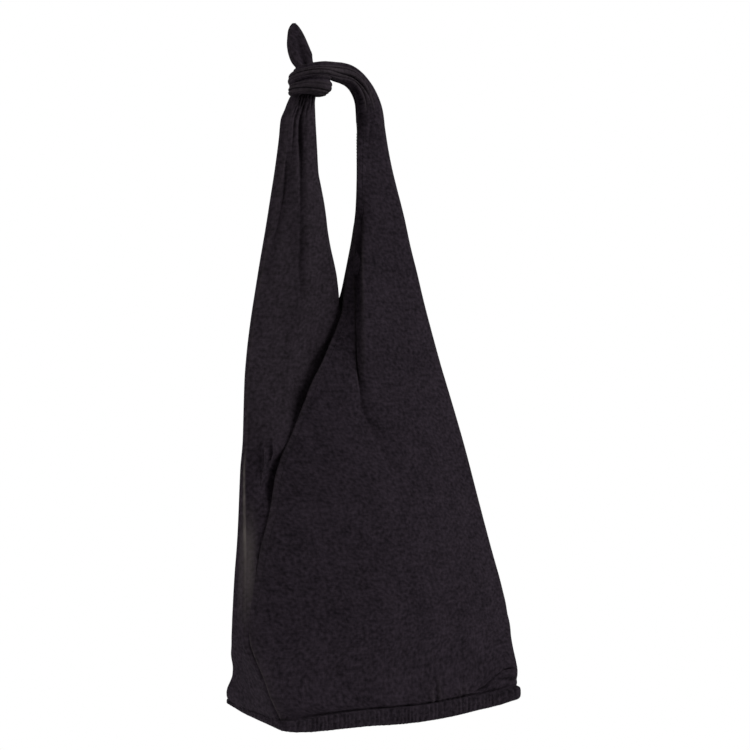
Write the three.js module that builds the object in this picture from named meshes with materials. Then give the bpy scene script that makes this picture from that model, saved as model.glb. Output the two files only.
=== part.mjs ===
// Knotted cloth tote bag: two overlapping wings of cloth on a boxed base, tied together at the top.
// Millimetres, +Z up, the front of the bag towards -Y. The origin is the underside of the strap's crown,
// where a peg, a hook or a shoulder carries the bag.
import * as THREE from 'three';

// Cloth
const CLOTH = 1.5;
const HEM_THICKNESS = 1;
const HEM_WIDTH = 10;
const GAP = 0.3;

// Base
const BASE_WIDTH = 280;
const BASE_DEPTH = 115;
const BASE_CLOTH = 2;
const WELT_HEIGHT = 9;
const WELT_THICKNESS = 4;
const WELT_CROWN = 0.8;

// Heights above the base
const GUSSET_HEIGHT = 80;
const OVERLAP_FOOT = 95;
const BELLY_HEIGHT = 190;
const SHOULDER_HEIGHT = 300;
const MOUTH_HEIGHT = 409;
const NECK_HEIGHT = 440;

// Half depths of the bag, front to back, at its upright sides and in the middle of its faces
const GUSSET_SIDE_DEPTH = 20;
const BELLY_SIDE_DEPTH = 18;
const SHOULDER_SIDE_DEPTH = 13;
const MOUTH_SIDE_DEPTH = 9;
const GUSSET_MIDDLE_DEPTH = 42;
const BELLY_MIDDLE_DEPTH = 30;
const SHOULDER_MIDDLE_DEPTH = 20;
const MOUTH_MIDDLE_DEPTH = 12;
const NECK_HALF_DEPTH = 4;

// Radius of the bag's upright edges
const BASE_CORNER_RADIUS = 6;
const GUSSET_CORNER_RADIUS = 10;
const MOUTH_CORNER_RADIUS = 8;

// Places of the bag's sides, from the middle of the base; the boxed corners flare out over the base
const GUSSET_LEFT = -157.5;
const BELLY_LEFT = -153.5;
const SHOULDER_LEFT = -148.5;
const MOUTH_LEFT = -138.5;
const NECK_LEFT = -134;
const GUSSET_RIGHT = 160;
const BELLY_RIGHT = 127.5;
const SHOULDER_RIGHT = 89.5;
const MOUTH_RIGHT = 55.5;
const NECK_RIGHT = 48;
const NOTCH_X = -42;
const NOTCH_HALF_WIDTH_AT_NECK = 6.5;
const OVERLAP_BOW = 1.8;

// Straps and knot
const STRAP_HALF_THICKNESS = 10;
const LEFT_STRAP_X = -93;
const LEFT_STRAP_HALF_WIDTH = 18;
const KNOT_STRAP_HALF_WIDTH = 15;
const RIGHT_STRAP_X = -4;
const RIGHT_STRAP_HALF_WIDTH = 19;
const STRAP_WAIST_HEIGHT = 560;
const CROWN_X = -36;
const CROWN_HEIGHT = 635;
const CROWN_HALF_WIDTH = 11;
const KNOT_X = -79;
const KNOT_CORE_RADIUS = 11;
const WRAP_HALF_THICKNESS = 7;
const WRAP_HALF_HEIGHT = 9.3;
const WRAP_TURN_GAP = 0.6;
const WRAP_TOP = 642;
const WRAP_START_ANGLE = THREE.MathUtils.degToRad(-50);
const WRAP_TURN = THREE.MathUtils.degToRad(565);
const WRAP_STEP_DOWN_FROM = THREE.MathUtils.degToRad(225);
const WRAP_STEP_DOWN_TO = THREE.MathUtils.degToRad(290);

// Free ends of the straps
const TAIL_HALF_THICKNESS = 3;
const LEFT_TAIL_HALF_WIDTH = 12.5;
const LEFT_TAIL_LENGTH = 31;
const LEFT_TAIL_LEAN = 10;
const LEFT_TAIL_SHIFT = -8;
const RIGHT_TAIL_HALF_WIDTH = 10;
const RIGHT_TAIL_LENGTH = 46;
const RIGHT_TAIL_SHIFT = 8;

// Fineness of the solids
const FACE_COLUMNS = 14;
const CORNER_STEPS = 3;
const STRAP_SIDES = 16;

const CLOTH_COLOUR = 0x242024;
const CLOTH_ROUGHNESS = 0.95;

const LAYER_PITCH = CLOTH + HEM_THICKNESS + 2 * GAP;
const WALL_FOOT = WELT_HEIGHT + GAP;
const STRAP_FOOT = NECK_HEIGHT + NECK_HALF_DEPTH + GAP;
const FRONT = -1;
const BACK = 1;

const { lerp } = THREE.MathUtils;

// A smooth curve of one size over height, through a few stations
function overHeight(stations) {
  const heights = stations.map(([height]) => height);
  const sizes = stations.map(([, size]) => size);
  const curve = new THREE.CubicInterpolant(heights, sizes, 1, new Float64Array(1));
  return (height) => curve.evaluate(height)[0];
}

const sideDepth = overHeight([
  [0, BASE_DEPTH / 2],
  [GUSSET_HEIGHT, GUSSET_SIDE_DEPTH],
  [BELLY_HEIGHT, BELLY_SIDE_DEPTH],
  [SHOULDER_HEIGHT, SHOULDER_SIDE_DEPTH],
  [MOUTH_HEIGHT, MOUTH_SIDE_DEPTH],
  [NECK_HEIGHT, NECK_HALF_DEPTH],
]);

const middleDepth = overHeight([
  [0, BASE_DEPTH / 2],
  [GUSSET_HEIGHT, GUSSET_MIDDLE_DEPTH],
  [BELLY_HEIGHT, BELLY_MIDDLE_DEPTH],
  [SHOULDER_HEIGHT, SHOULDER_MIDDLE_DEPTH],
  [MOUTH_HEIGHT, MOUTH_MIDDLE_DEPTH],
  [NECK_HEIGHT, NECK_HALF_DEPTH],
]);

const cornerRadius = overHeight([
  [0, BASE_CORNER_RADIUS],
  [GUSSET_HEIGHT, GUSSET_CORNER_RADIUS],
  [MOUTH_HEIGHT, MOUTH_CORNER_RADIUS],
  [NECK_HEIGHT, NECK_HALF_DEPTH],
]);

const leftEdge = overHeight([
  [0, -BASE_WIDTH / 2],
  [GUSSET_HEIGHT, GUSSET_LEFT],
  [BELLY_HEIGHT, BELLY_LEFT],
  [SHOULDER_HEIGHT, SHOULDER_LEFT],
  [MOUTH_HEIGHT, MOUTH_LEFT],
  [NECK_HEIGHT, NECK_LEFT],
]);

const rightEdge = overHeight([
  [0, BASE_WIDTH / 2],
  [GUSSET_HEIGHT, GUSSET_RIGHT],
  [BELLY_HEIGHT, BELLY_RIGHT],
  [SHOULDER_HEIGHT, SHOULDER_RIGHT],
  [MOUTH_HEIGHT, MOUTH_RIGHT],
  [NECK_HEIGHT, NECK_RIGHT],
]);

const leftFold = (height) => leftEdge(height) + cornerRadius(height);
const rightFold = (height) => rightEdge(height) - cornerRadius(height);

// A free edge of a wing: along the side fold up to the overlap's foot, slanting to the notch, then up the strap
function freeEdge(fold, notchAtNeck) {
  return (height) => {
    if (height <= OVERLAP_FOOT) return fold(height);
    if (height <= MOUTH_HEIGHT) {
      const share = (height - OVERLAP_FOOT) / (MOUTH_HEIGHT - OVERLAP_FOOT);
      return lerp(fold(height), NOTCH_X, share ** OVERLAP_BOW);
    }
    return lerp(NOTCH_X, notchAtNeck, (height - MOUTH_HEIGHT) / (NECK_HEIGHT - MOUTH_HEIGHT));
  };
}

const rightWingEdge = freeEdge(leftFold, NOTCH_X + NOTCH_HALF_WIDTH_AT_NECK);
const leftWingEdge = freeEdge(rightFold, NOTCH_X - NOTCH_HALF_WIDTH_AT_NECK);

// Evenly spaced heights from one station to the next, so that every fold has a row of its own
function heightsThrough(stations, rowHeight) {
  const heights = [stations[0]];
  for (let i = 1; i < stations.length; i += 1) {
    const rows = Math.max(1, Math.round((stations[i] - stations[i - 1]) / rowHeight));
    for (let row = 1; row <= rows; row += 1) {
      heights.push(lerp(stations[i - 1], stations[i], row / rows));
    }
  }
  return heights;
}

const ROW_HEIGHT = 18;
const wallHeights = heightsThrough(
  [WALL_FOOT, GUSSET_HEIGHT, OVERLAP_FOOT, MOUTH_HEIGHT, NECK_HEIGHT],
  ROW_HEIGHT,
);

// The bag's upper rim is round about the neck's fold line, so that it turns under the straps
function rimHeight(height, y) {
  if (height < NECK_HEIGHT) return height;
  return NECK_HEIGHT + Math.sqrt(Math.max(0, NECK_HALF_DEPTH ** 2 - y ** 2));
}

// A closed solid from points and triangles, turned to face outwards
function solid(points, triangles) {
  const volume = triangles.reduce((sum, [a, b, c]) => {
    const cross = new THREE.Vector3().crossVectors(points[b], points[c]);
    return sum + points[a].dot(cross);
  }, 0);
  const outward = volume > 0 ? triangles : triangles.map(([a, b, c]) => [a, c, b]);
  const geometry = new THREE.BufferGeometry();
  geometry.setAttribute('position', new THREE.Float32BufferAttribute(points.flatMap((p) => p.toArray()), 3));
  geometry.setIndex(outward.flat());
  geometry.computeVertexNormals();
  return geometry;
}

const quad = (a, b, c, d) => [[a, b, c], [a, c, d]];

// A sheet with two faces: each row is a list of { outer, inner } points of equal count
function thickSheet(rows) {
  const columns = rows[0].length;
  const points = rows.flatMap((row) => row.flatMap(({ outer, inner }) => [outer, inner]));
  const outer = (row, column) => 2 * (row * columns + column);
  const inner = (row, column) => outer(row, column) + 1;
  const triangles = [];
  const last = rows.length - 1;
  const end = columns - 1;
  for (let row = 0; row < last; row += 1) {
    for (let column = 0; column < end; column += 1) {
      const next = column + 1;
      triangles.push(...quad(outer(row, column), outer(row, next), outer(row + 1, next), outer(row + 1, column)));
      triangles.push(...quad(inner(row, column), inner(row + 1, column), inner(row + 1, next), inner(row, next)));
    }
    triangles.push(...quad(outer(row, 0), outer(row + 1, 0), inner(row + 1, 0), inner(row, 0)));
    triangles.push(...quad(outer(row, end), inner(row, end), inner(row + 1, end), outer(row + 1, end)));
  }
  for (let column = 0; column < end; column += 1) {
    const next = column + 1;
    triangles.push(...quad(outer(0, column), inner(0, column), inner(0, next), outer(0, next)));
    triangles.push(...quad(outer(last, column), outer(last, next), inner(last, next), inner(last, column)));
  }
  return solid(points, triangles);
}

// A solid through closed sections of equal count, with a fan over each end
function loft(sections) {
  const sides = sections[0].length;
  const points = sections.flat();
  const triangles = [];
  for (let ring = 0; ring < sections.length - 1; ring += 1) {
    for (let side = 0; side < sides; side += 1) {
      const next = (side + 1) % sides;
      const low = ring * sides;
      const high = low + sides;
      triangles.push(...quad(low + side, low + next, high + next, high + side));
    }
  }
  const addCap = (section, first, flip) => {
    const middle = section.reduce((sum, p) => sum.add(p), new THREE.Vector3()).divideScalar(sides);
    const centre = points.push(middle) - 1;
    for (let side = 0; side < sides; side += 1) {
      const a = first + side;
      const b = first + ((side + 1) % sides);
      triangles.push(flip ? [centre, b, a] : [centre, a, b]);
    }
  };
  addCap(sections[0], 0, true);
  addCap(sections[sections.length - 1], (sections.length - 1) * sides, false);
  return solid(points, triangles);
}

// A rounded section of a strap: half sizes along its width and its thickness; a fuller one has squarer corners
function oval(centre, widthWay, thicknessWay, halfWidth, halfThickness, fullness = 1) {
  const full = (share) => Math.sign(share) * Math.abs(share) ** (1 / fullness);
  return Array.from({ length: STRAP_SIDES }, (_, side) => {
    const angle = (2 * Math.PI * side) / STRAP_SIDES;
    return centre
      .clone()
      .addScaledVector(widthWay, halfWidth * full(Math.cos(angle)))
      .addScaledVector(thicknessWay, halfThickness * full(Math.sin(angle)));
  });
}

const material = new THREE.MeshStandardMaterial({
  color: CLOTH_COLOUR,
  roughness: CLOTH_ROUGHNESS,
  metalness: 0,
});

function piece(name, geometry) {
  const mesh = new THREE.Mesh(geometry, material.clone());
  mesh.name = name;
  return mesh;
}

// The faces bow out from the sides to the middle of the bag
function bowedDepth(height, x) {
  const across = (x - leftFold(height)) / (rightFold(height) - leftFold(height));
  const bow = 1 - (2 * across - 1) ** 2;
  return lerp(sideDepth(height), middleDepth(height), bow);
}

// A panel of cloth is a face of the bag from a free edge to a fold, on the front or the back, on the outer or the
// inner layer; its first column is as wide as the hem
function panel(side, layer, freeEdge, fold) {
  const depthInside = layer * LAYER_PITCH;
  const row = (height, columns, inset, thickness) => {
    const inwards = Math.sign(fold(height) - freeEdge(height));
    const hemEnd = freeEdge(height) + inwards * HEM_WIDTH;
    return Array.from({ length: columns + 1 }, (_, column) => {
      const share = (column - 1) / (FACE_COLUMNS - 1);
      const x = column === 0 ? freeEdge(height) : lerp(hemEnd, fold(height), share);
      const outerY = bowedDepth(height, x) - depthInside - inset;
      const innerY = outerY - thickness;
      return {
        outer: new THREE.Vector3(x, side * outerY, rimHeight(height, outerY)),
        inner: new THREE.Vector3(x, side * innerY, rimHeight(height, innerY)),
      };
    });
  };
  return {
    face: () => thickSheet(wallHeights.map((height) => row(height, FACE_COLUMNS, 0, CLOTH))),
    // The hem is folded to the inside of the panel, from the overlap's foot to the notch
    hem: () => {
      const heights = wallHeights.filter((height) => height >= OVERLAP_FOOT && height <= MOUTH_HEIGHT);
      return thickSheet(heights.map((height) => row(height, 1, CLOTH + GAP, HEM_THICKNESS)));
    },
  };
}

// Plan of one upright side at a height: round the front corner, along the side, round the back corner
function sidePlan(outwards, edge, height, inset, cornerShare) {
  const radius = cornerRadius(height);
  const middleX = edge(height) - outwards * radius;
  const middleY = sideDepth(height) - radius;
  const corner = (side, share) => {
    const angle = (share * Math.PI) / 2;
    const reach = radius - inset;
    const x = middleX + outwards * reach * Math.sin(angle);
    return new THREE.Vector3(x, side * (middleY + reach * Math.cos(angle)), height);
  };
  const shares = Array.from({ length: CORNER_STEPS + 1 }, (_, step) => lerp(cornerShare, 1, step / CORNER_STEPS));
  const front = shares.map((share) => corner(FRONT, share));
  const back = shares.map((share) => corner(BACK, share)).reverse();
  return [...front, ...back];
}

// The upright side of a wing, folded round the bag's left or right end
function wingSide(name, outwards, edge) {
  const rows = wallHeights.map((height) => {
    const outer = sidePlan(outwards, edge, height, 0, 0);
    const inner = sidePlan(outwards, edge, height, CLOTH, 0);
    const clear = (point) => {
      point.x += (outwards * GAP) / 2;
      point.z = rimHeight(height, point.y);
      return point;
    };
    return outer.map((point, i) => ({ outer: clear(point), inner: clear(inner[i]) }));
  });
  return piece(name, thickSheet(rows));
}

// One side of the welt round the base: a rolled edge, from one corner's middle to the next
function weltAlong(name, planAt) {
  const rows = [
    [0, 0],
    [WELT_HEIGHT / 2, WELT_CROWN],
    [WELT_HEIGHT, 0],
  ].map(([height, crown]) => {
    const outer = planAt(-crown);
    const inner = planAt(WELT_THICKNESS);
    return outer.map((point, i) => ({ outer: point.setZ(height), inner: inner[i].setZ(height) }));
  });
  return piece(name, thickSheet(rows));
}

const HALF_CORNER = 0.5;

function weltEnd(name, outwards) {
  const edge = () => (outwards * BASE_WIDTH) / 2;
  return weltAlong(name, (inset) => sidePlan(outwards, edge, 0, inset, HALF_CORNER));
}

function weltFace(name, side) {
  const middleX = BASE_WIDTH / 2 - BASE_CORNER_RADIUS;
  const middleY = BASE_DEPTH / 2 - BASE_CORNER_RADIUS;
  const corner = (outwards, share, inset) => {
    const angle = (share * Math.PI) / 2;
    const reach = BASE_CORNER_RADIUS - inset;
    const x = outwards * (middleX - GAP + reach * Math.sin(angle));
    return new THREE.Vector3(x, side * (middleY + reach * Math.cos(angle)), 0);
  };
  const shares = Array.from({ length: CORNER_STEPS + 1 }, (_, step) => lerp(HALF_CORNER, 0, step / CORNER_STEPS));
  return weltAlong(name, (inset) => {
    const left = shares.map((share) => corner(-1, share, inset));
    const right = shares.map((share) => corner(1, share, inset)).reverse();
    return [...left, ...right];
  });
}

// The flat cloth floor of the bag, inside the welt
function basePanel() {
  const halfWidth = BASE_WIDTH / 2 - WELT_THICKNESS - GAP;
  const halfLength = BASE_DEPTH / 2 - WELT_THICKNESS - GAP;
  const radius = Math.max(BASE_CORNER_RADIUS - WELT_THICKNESS, GAP);
  const outline = new THREE.Shape();
  outline.absarc(halfWidth - radius, halfLength - radius, radius, 0, Math.PI / 2);
  outline.absarc(-halfWidth + radius, halfLength - radius, radius, Math.PI / 2, Math.PI);
  outline.absarc(-halfWidth + radius, -halfLength + radius, radius, Math.PI, 1.5 * Math.PI);
  outline.absarc(halfWidth - radius, -halfLength + radius, radius, 1.5 * Math.PI, 2 * Math.PI);
  const options = { depth: BASE_CLOTH, bevelEnabled: false, curveSegments: CORNER_STEPS };
  return piece('base_panel', new THREE.ExtrudeGeometry(outline, options));
}

// A strap: ovals along a line, each with its own half width and half thickness; acrossAt gives the way of its width
function strapSections(stations, ringCount, acrossAt) {
  const line = new THREE.CatmullRomCurve3(stations.map(({ at }) => new THREE.Vector3(...at)));
  const places = stations.map((_, i) => i / (stations.length - 1));
  const width = new THREE.CubicInterpolant(places, stations.map((s) => s.halfWidth), 1, new Float64Array(1));
  const thickness = new THREE.CubicInterpolant(places, stations.map((s) => s.halfThickness), 1, new Float64Array(1));
  return Array.from({ length: ringCount + 1 }, (_, ring) => {
    const place = ring / ringCount;
    const { widthWay, thicknessWay } = acrossAt(line.getTangent(place));
    const halfWidth = width.evaluate(place)[0];
    const halfThickness = thickness.evaluate(place)[0];
    return oval(line.getPoint(place), widthWay, thicknessWay, halfWidth, halfThickness);
  });
}

// Level sections, for a strap that hangs straight down
function levelSection() {
  return { widthWay: new THREE.Vector3(1, 0, 0), thicknessWay: new THREE.Vector3(0, 1, 0) };
}

// Sections square to the line, for a strap that turns over the crown
function squareSection(along) {
  const widthWay = new THREE.Vector3(along.z, 0, -along.x).normalize();
  const thicknessWay = new THREE.Vector3().crossVectors(along, widthWay).normalize();
  return { widthWay, thicknessWay };
}

// The foot of a strap is rounded over the neck's fold line, like the bag's rim below it
function strapFoot(x, halfWidth) {
  const acrossX = new THREE.Vector3(1, 0, 0);
  const acrossY = new THREE.Vector3(0, 1, 0);
  const shares = [0.1, 0.4, 0.75];
  return shares.map((share) => {
    const rise = NECK_HALF_DEPTH * (1 - Math.sqrt(1 - share ** 2));
    const centre = new THREE.Vector3(x, 0, STRAP_FOOT + rise);
    return oval(centre, acrossX, acrossY, halfWidth, NECK_HALF_DEPTH * share);
  });
}

const LEFT_NECK_X = (NECK_LEFT + NOTCH_X - NOTCH_HALF_WIDTH_AT_NECK) / 2;
const LEFT_NECK_HALF_WIDTH = (NOTCH_X - NOTCH_HALF_WIDTH_AT_NECK - NECK_LEFT) / 2;
const RIGHT_NECK_X = (NECK_RIGHT + NOTCH_X + NOTCH_HALF_WIDTH_AT_NECK) / 2;
const RIGHT_NECK_HALF_WIDTH = (NECK_RIGHT - NOTCH_X - NOTCH_HALF_WIDTH_AT_NECK) / 2;
const STRAP_START = STRAP_FOOT + NECK_HALF_DEPTH;

// The wrap goes round the knot's core from the front of the crown, steps down one band behind it,
// and goes round again to the back of the left strap
const WRAP_RADIUS = KNOT_CORE_RADIUS + GAP + WRAP_HALF_THICKNESS;
const WRAP_PITCH = 2 * WRAP_HALF_HEIGHT + WRAP_TURN_GAP;
const WRAP_START_HEIGHT = WRAP_TOP - WRAP_HALF_HEIGHT;
const WRAP_END_HEIGHT = WRAP_START_HEIGHT - WRAP_PITCH;
const KNOT_FOOT = WRAP_END_HEIGHT - WRAP_HALF_HEIGHT;
const WRAP_STEP = THREE.MathUtils.degToRad(15);
const WRAP_FULLNESS = 1.5;

function wrapPoint(turned) {
  const angle = WRAP_START_ANGLE - turned;
  const stepDown = THREE.MathUtils.smoothstep(turned, WRAP_STEP_DOWN_FROM, WRAP_STEP_DOWN_TO);
  return new THREE.Vector3(
    KNOT_X + WRAP_RADIUS * Math.cos(angle),
    WRAP_RADIUS * Math.sin(angle),
    WRAP_START_HEIGHT - WRAP_PITCH * stepDown,
  );
}

function wrapSection(centre) {
  const up = new THREE.Vector3(0, 0, 1);
  const outwards = new THREE.Vector3(centre.x - KNOT_X, centre.y, 0).normalize();
  return oval(centre, up, outwards, WRAP_HALF_HEIGHT, WRAP_HALF_THICKNESS, WRAP_FULLNESS);
}

function knotWrap() {
  const steps = Math.round(WRAP_TURN / WRAP_STEP);
  const sections = Array.from({ length: steps + 1 }, (_, step) => wrapSection(wrapPoint((WRAP_TURN * step) / steps)));
  return piece('knot_wrap', loft(sections));
}

const KNOT_STRAP_TOP = KNOT_FOOT - GAP;
const CORE_FOOT = KNOT_FOOT;
const CORE_TOP = WRAP_TOP + GAP;

function knotCore() {
  const acrossX = new THREE.Vector3(1, 0, 0);
  const acrossY = new THREE.Vector3(0, 1, 0);
  const sections = [CORE_FOOT, CORE_TOP].map((height) => {
    const centre = new THREE.Vector3(KNOT_X, 0, height);
    return oval(centre, acrossX, acrossY, KNOT_CORE_RADIUS, KNOT_CORE_RADIUS);
  });
  return piece('knot_core', loft(sections));
}

function leftStrap() {
  const shoulder = lerp(STRAP_START, STRAP_WAIST_HEIGHT, 0.45);
  const top = KNOT_STRAP_TOP;
  const stations = [
    { at: [LEFT_NECK_X, 0, STRAP_START], halfWidth: LEFT_NECK_HALF_WIDTH, halfThickness: NECK_HALF_DEPTH },
    {
      at: [lerp(LEFT_NECK_X, LEFT_STRAP_X, 0.5), 0, shoulder],
      halfWidth: lerp(LEFT_NECK_HALF_WIDTH, LEFT_STRAP_HALF_WIDTH, 0.48),
      halfThickness: lerp(NECK_HALF_DEPTH, STRAP_HALF_THICKNESS, 0.7),
    },
    {
      at: [LEFT_STRAP_X, 0, STRAP_WAIST_HEIGHT],
      halfWidth: LEFT_STRAP_HALF_WIDTH * 1.15,
      halfThickness: STRAP_HALF_THICKNESS,
    },
    {
      at: [lerp(LEFT_STRAP_X, KNOT_X, 0.2), 0, lerp(STRAP_WAIST_HEIGHT, top, 0.55)],
      halfWidth: LEFT_STRAP_HALF_WIDTH,
      halfThickness: STRAP_HALF_THICKNESS,
    },
    {
      at: [lerp(LEFT_STRAP_X, KNOT_X, 0.45), 0, top],
      halfWidth: KNOT_STRAP_HALF_WIDTH,
      halfThickness: STRAP_HALF_THICKNESS,
    },
  ];
  const foot = strapFoot(LEFT_NECK_X, LEFT_NECK_HALF_WIDTH);
  return piece('left_strap', loft([...foot, ...strapSections(stations, 12, levelSection)]));
}

// The right strap climbs to the crown, leans to the front of the knot and ends where the wrap begins
function rightStrap() {
  const shoulder = lerp(STRAP_START, STRAP_WAIST_HEIGHT, 0.5);
  const start = wrapPoint(0);
  const beforeWrap = GAP / WRAP_RADIUS;
  const end = wrapPoint(-beforeWrap);
  const stations = [
    { at: [RIGHT_NECK_X, 0, STRAP_START], halfWidth: RIGHT_NECK_HALF_WIDTH, halfThickness: NECK_HALF_DEPTH },
    {
      at: [lerp(RIGHT_NECK_X, RIGHT_STRAP_X, 0.35), 0, shoulder],
      halfWidth: lerp(RIGHT_NECK_HALF_WIDTH, RIGHT_STRAP_HALF_WIDTH, 0.7),
      halfThickness: lerp(NECK_HALF_DEPTH, STRAP_HALF_THICKNESS, 0.7),
    },
    {
      at: [RIGHT_STRAP_X, 0, STRAP_WAIST_HEIGHT],
      halfWidth: RIGHT_STRAP_HALF_WIDTH,
      halfThickness: STRAP_HALF_THICKNESS,
    },
    {
      at: [lerp(RIGHT_STRAP_X, CROWN_X, 0.18), 0, lerp(STRAP_WAIST_HEIGHT, CROWN_HEIGHT, 0.55)],
      halfWidth: lerp(RIGHT_STRAP_HALF_WIDTH, CROWN_HALF_WIDTH, 0.5),
      halfThickness: STRAP_HALF_THICKNESS,
    },
    { at: [CROWN_X, 0, CROWN_HEIGHT], halfWidth: CROWN_HALF_WIDTH, halfThickness: STRAP_HALF_THICKNESS },
    {
      at: [lerp(CROWN_X, start.x, 0.6), 0.45 * start.y, start.z],
      halfWidth: WRAP_HALF_HEIGHT,
      halfThickness: lerp(STRAP_HALF_THICKNESS, WRAP_HALF_THICKNESS, 0.7),
    },
    { at: end.toArray(), halfWidth: WRAP_HALF_HEIGHT, halfThickness: WRAP_HALF_THICKNESS },
  ];
  const foot = strapFoot(RIGHT_NECK_X, RIGHT_NECK_HALF_WIDTH);
  const sections = strapSections(stations, 22, squareSection);
  sections[sections.length - 1] = wrapSection(end);
  return piece('right_strap', loft([...foot, ...sections]));
}

// A pointed leaf of folded cloth from a round root; along is the way it points, lean its sideways drift
function tail(name, root, along, halfWidth, length, lean) {
  const acrossX = new THREE.Vector3(1, 0, 0);
  const thicknessWay = new THREE.Vector3(0, 1, 0);
  const stations = [
    [-1, 0.7, 0.2],
    [-0.7, 0.8, 0.7],
    [0, 0.85, 1],
    [0.25 * length, 1, 1],
    [0.6 * length, 0.85, 0.85],
    [0.85 * length, 0.5, 0.6],
    [length, 0.12, 0.3],
  ].map(([distance, widthShare, thicknessShare]) => {
    const reach = distance < 0 ? distance * TAIL_HALF_THICKNESS : distance;
    const drift = lean * (Math.max(reach, 0) / length) ** 1.3;
    const centre = new THREE.Vector3(root.x - drift, root.y, root.z + along * reach);
    return oval(centre, acrossX, thicknessWay, halfWidth * widthShare, TAIL_HALF_THICKNESS * thicknessShare);
  });
  return piece(name, loft(stations));
}

const leftTailRoot = new THREE.Vector3(KNOT_X + LEFT_TAIL_SHIFT, 0, CORE_TOP + GAP + TAIL_HALF_THICKNESS);
const rightTailRoot = wrapPoint(WRAP_TURN)
  .setZ(KNOT_FOOT - GAP - TAIL_HALF_THICKNESS)
  .add(new THREE.Vector3(RIGHT_TAIL_SHIFT, 0, 0));

const rightOf = (edge, distance) => (height) => edge(height) + distance;
const rightFront = panel(FRONT, 0, rightOf(rightWingEdge, GAP / 2), rightOf(rightFold, -GAP / 2));
const leftFront = panel(FRONT, 1, rightOf(leftWingEdge, -GAP), rightOf(leftFold, GAP / 2));
const leftBack = panel(BACK, 0, rightOf(leftWingEdge, -GAP / 2), rightOf(leftFold, GAP / 2));
const rightBack = panel(BACK, 1, rightOf(rightWingEdge, GAP), rightOf(rightFold, -GAP / 2));

const tote = new THREE.Group();
tote.name = 'knot_tote';
tote.position.set(-CROWN_X, 0, CROWN_HALF_WIDTH - CROWN_HEIGHT);
tote.add(
  piece('right_wing_front', rightFront.face()),
  piece('left_wing_underlay', leftFront.face()),
  piece('left_wing_back', leftBack.face()),
  piece('right_wing_underlay', rightBack.face()),
  wingSide('left_wing_side', -1, leftEdge),
  wingSide('right_wing_side', 1, rightEdge),
  piece('right_front_hem', rightFront.hem()),
  piece('left_back_hem', leftBack.hem()),
  piece('left_front_hem', leftFront.hem()),
  piece('right_back_hem', rightBack.hem()),
  basePanel(),
  weltFace('base_welt_front', FRONT),
  weltFace('base_welt_back', BACK),
  weltEnd('base_welt_left', -1),
  weltEnd('base_welt_right', 1),
  leftStrap(),
  rightStrap(),
  knotCore(),
  knotWrap(),
  tail('left_tail', leftTailRoot, 1, LEFT_TAIL_HALF_WIDTH, LEFT_TAIL_LENGTH, LEFT_TAIL_LEAN),
  tail('right_tail', rightTailRoot, -1, RIGHT_TAIL_HALF_WIDTH, RIGHT_TAIL_LENGTH, 0),
);

export default tote;
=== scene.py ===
# %% [markdown]
# # A knotted cloth tote
#
# Two wings of black cloth on a boxed base cross, run up into straps, and are joined by a knot. Each wing is
# a single cut of cloth, so here it is a single sheet: a grid lofted through sections, from the base up to
# the knot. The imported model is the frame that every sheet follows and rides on.

# %% Load the frame
import math

import bmesh
import bpy
import numpy as np
from mathutils import Matrix, Vector, noise


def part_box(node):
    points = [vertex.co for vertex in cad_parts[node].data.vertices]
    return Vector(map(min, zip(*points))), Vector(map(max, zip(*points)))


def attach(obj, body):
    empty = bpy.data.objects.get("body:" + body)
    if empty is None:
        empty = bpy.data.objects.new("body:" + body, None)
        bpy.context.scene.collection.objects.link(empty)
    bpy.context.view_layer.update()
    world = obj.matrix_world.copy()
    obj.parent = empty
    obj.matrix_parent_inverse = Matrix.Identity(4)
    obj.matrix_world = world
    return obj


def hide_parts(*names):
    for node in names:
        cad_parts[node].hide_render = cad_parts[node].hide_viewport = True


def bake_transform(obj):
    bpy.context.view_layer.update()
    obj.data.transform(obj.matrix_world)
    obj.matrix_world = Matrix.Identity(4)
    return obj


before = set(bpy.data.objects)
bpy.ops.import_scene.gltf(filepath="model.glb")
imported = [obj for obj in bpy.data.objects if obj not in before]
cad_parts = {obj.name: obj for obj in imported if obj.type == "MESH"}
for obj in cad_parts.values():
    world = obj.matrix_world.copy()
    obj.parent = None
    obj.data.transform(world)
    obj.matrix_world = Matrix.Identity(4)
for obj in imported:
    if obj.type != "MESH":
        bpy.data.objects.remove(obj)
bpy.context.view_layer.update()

# %% [markdown]
# The frame counts metres from the underside of the strap's crown. A bag is easier to measure in millimetres
# from the middle of its base. In both, x counts to the right, y to the back and z up.

# %% Bag millimetres to frame metres
MM = 0.001
CROWN_X = -36
CROWN_UNDERSIDE = 624


def to_frame(points):
    return (np.asarray(points, float) - (CROWN_X, 0, CROWN_UNDERSIDE)) * MM


base_low, base_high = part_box("base_panel")
print("base underside is", round(base_low.z / MM + CROWN_UNDERSIDE, 2), "mm up, so bag and frame agree")

# %% [markdown]
# ## The stage
#
# The bag is seen from its front left corner, from a metre and a half away. Place, heading and lens come
# from the corners of the base and the slant of its edges.

# %% Camera at the viewing angle
CAMERA_PLACE = (-753.3, -1188.5, 330.2)
CAMERA_HEADING = math.radians(-32.3)
CAMERA_LENS = 66.05
scene = bpy.context.scene
camera_data = bpy.data.cameras.new("camera")
camera_data.lens = CAMERA_LENS
camera = bpy.data.objects.new("camera", camera_data)
camera.location = to_frame(CAMERA_PLACE)
camera.rotation_euler = (math.pi / 2, 0, CAMERA_HEADING)
scene.collection.objects.link(camera)
scene.camera = camera
print("camera stands", round(camera.location.length, 3), "m from the crown")

# %% [markdown]
# A world as bright as it looks would turn black cloth grey, so it is white to the camera only. Two helpers
# make nodes, fill their inputs and link them.

# %% World that is white to the camera
WORLD_STRENGTH = 0.15
WHITE = (1, 1, 1, 1)
scene.view_settings.view_transform = "Standard"


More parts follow.
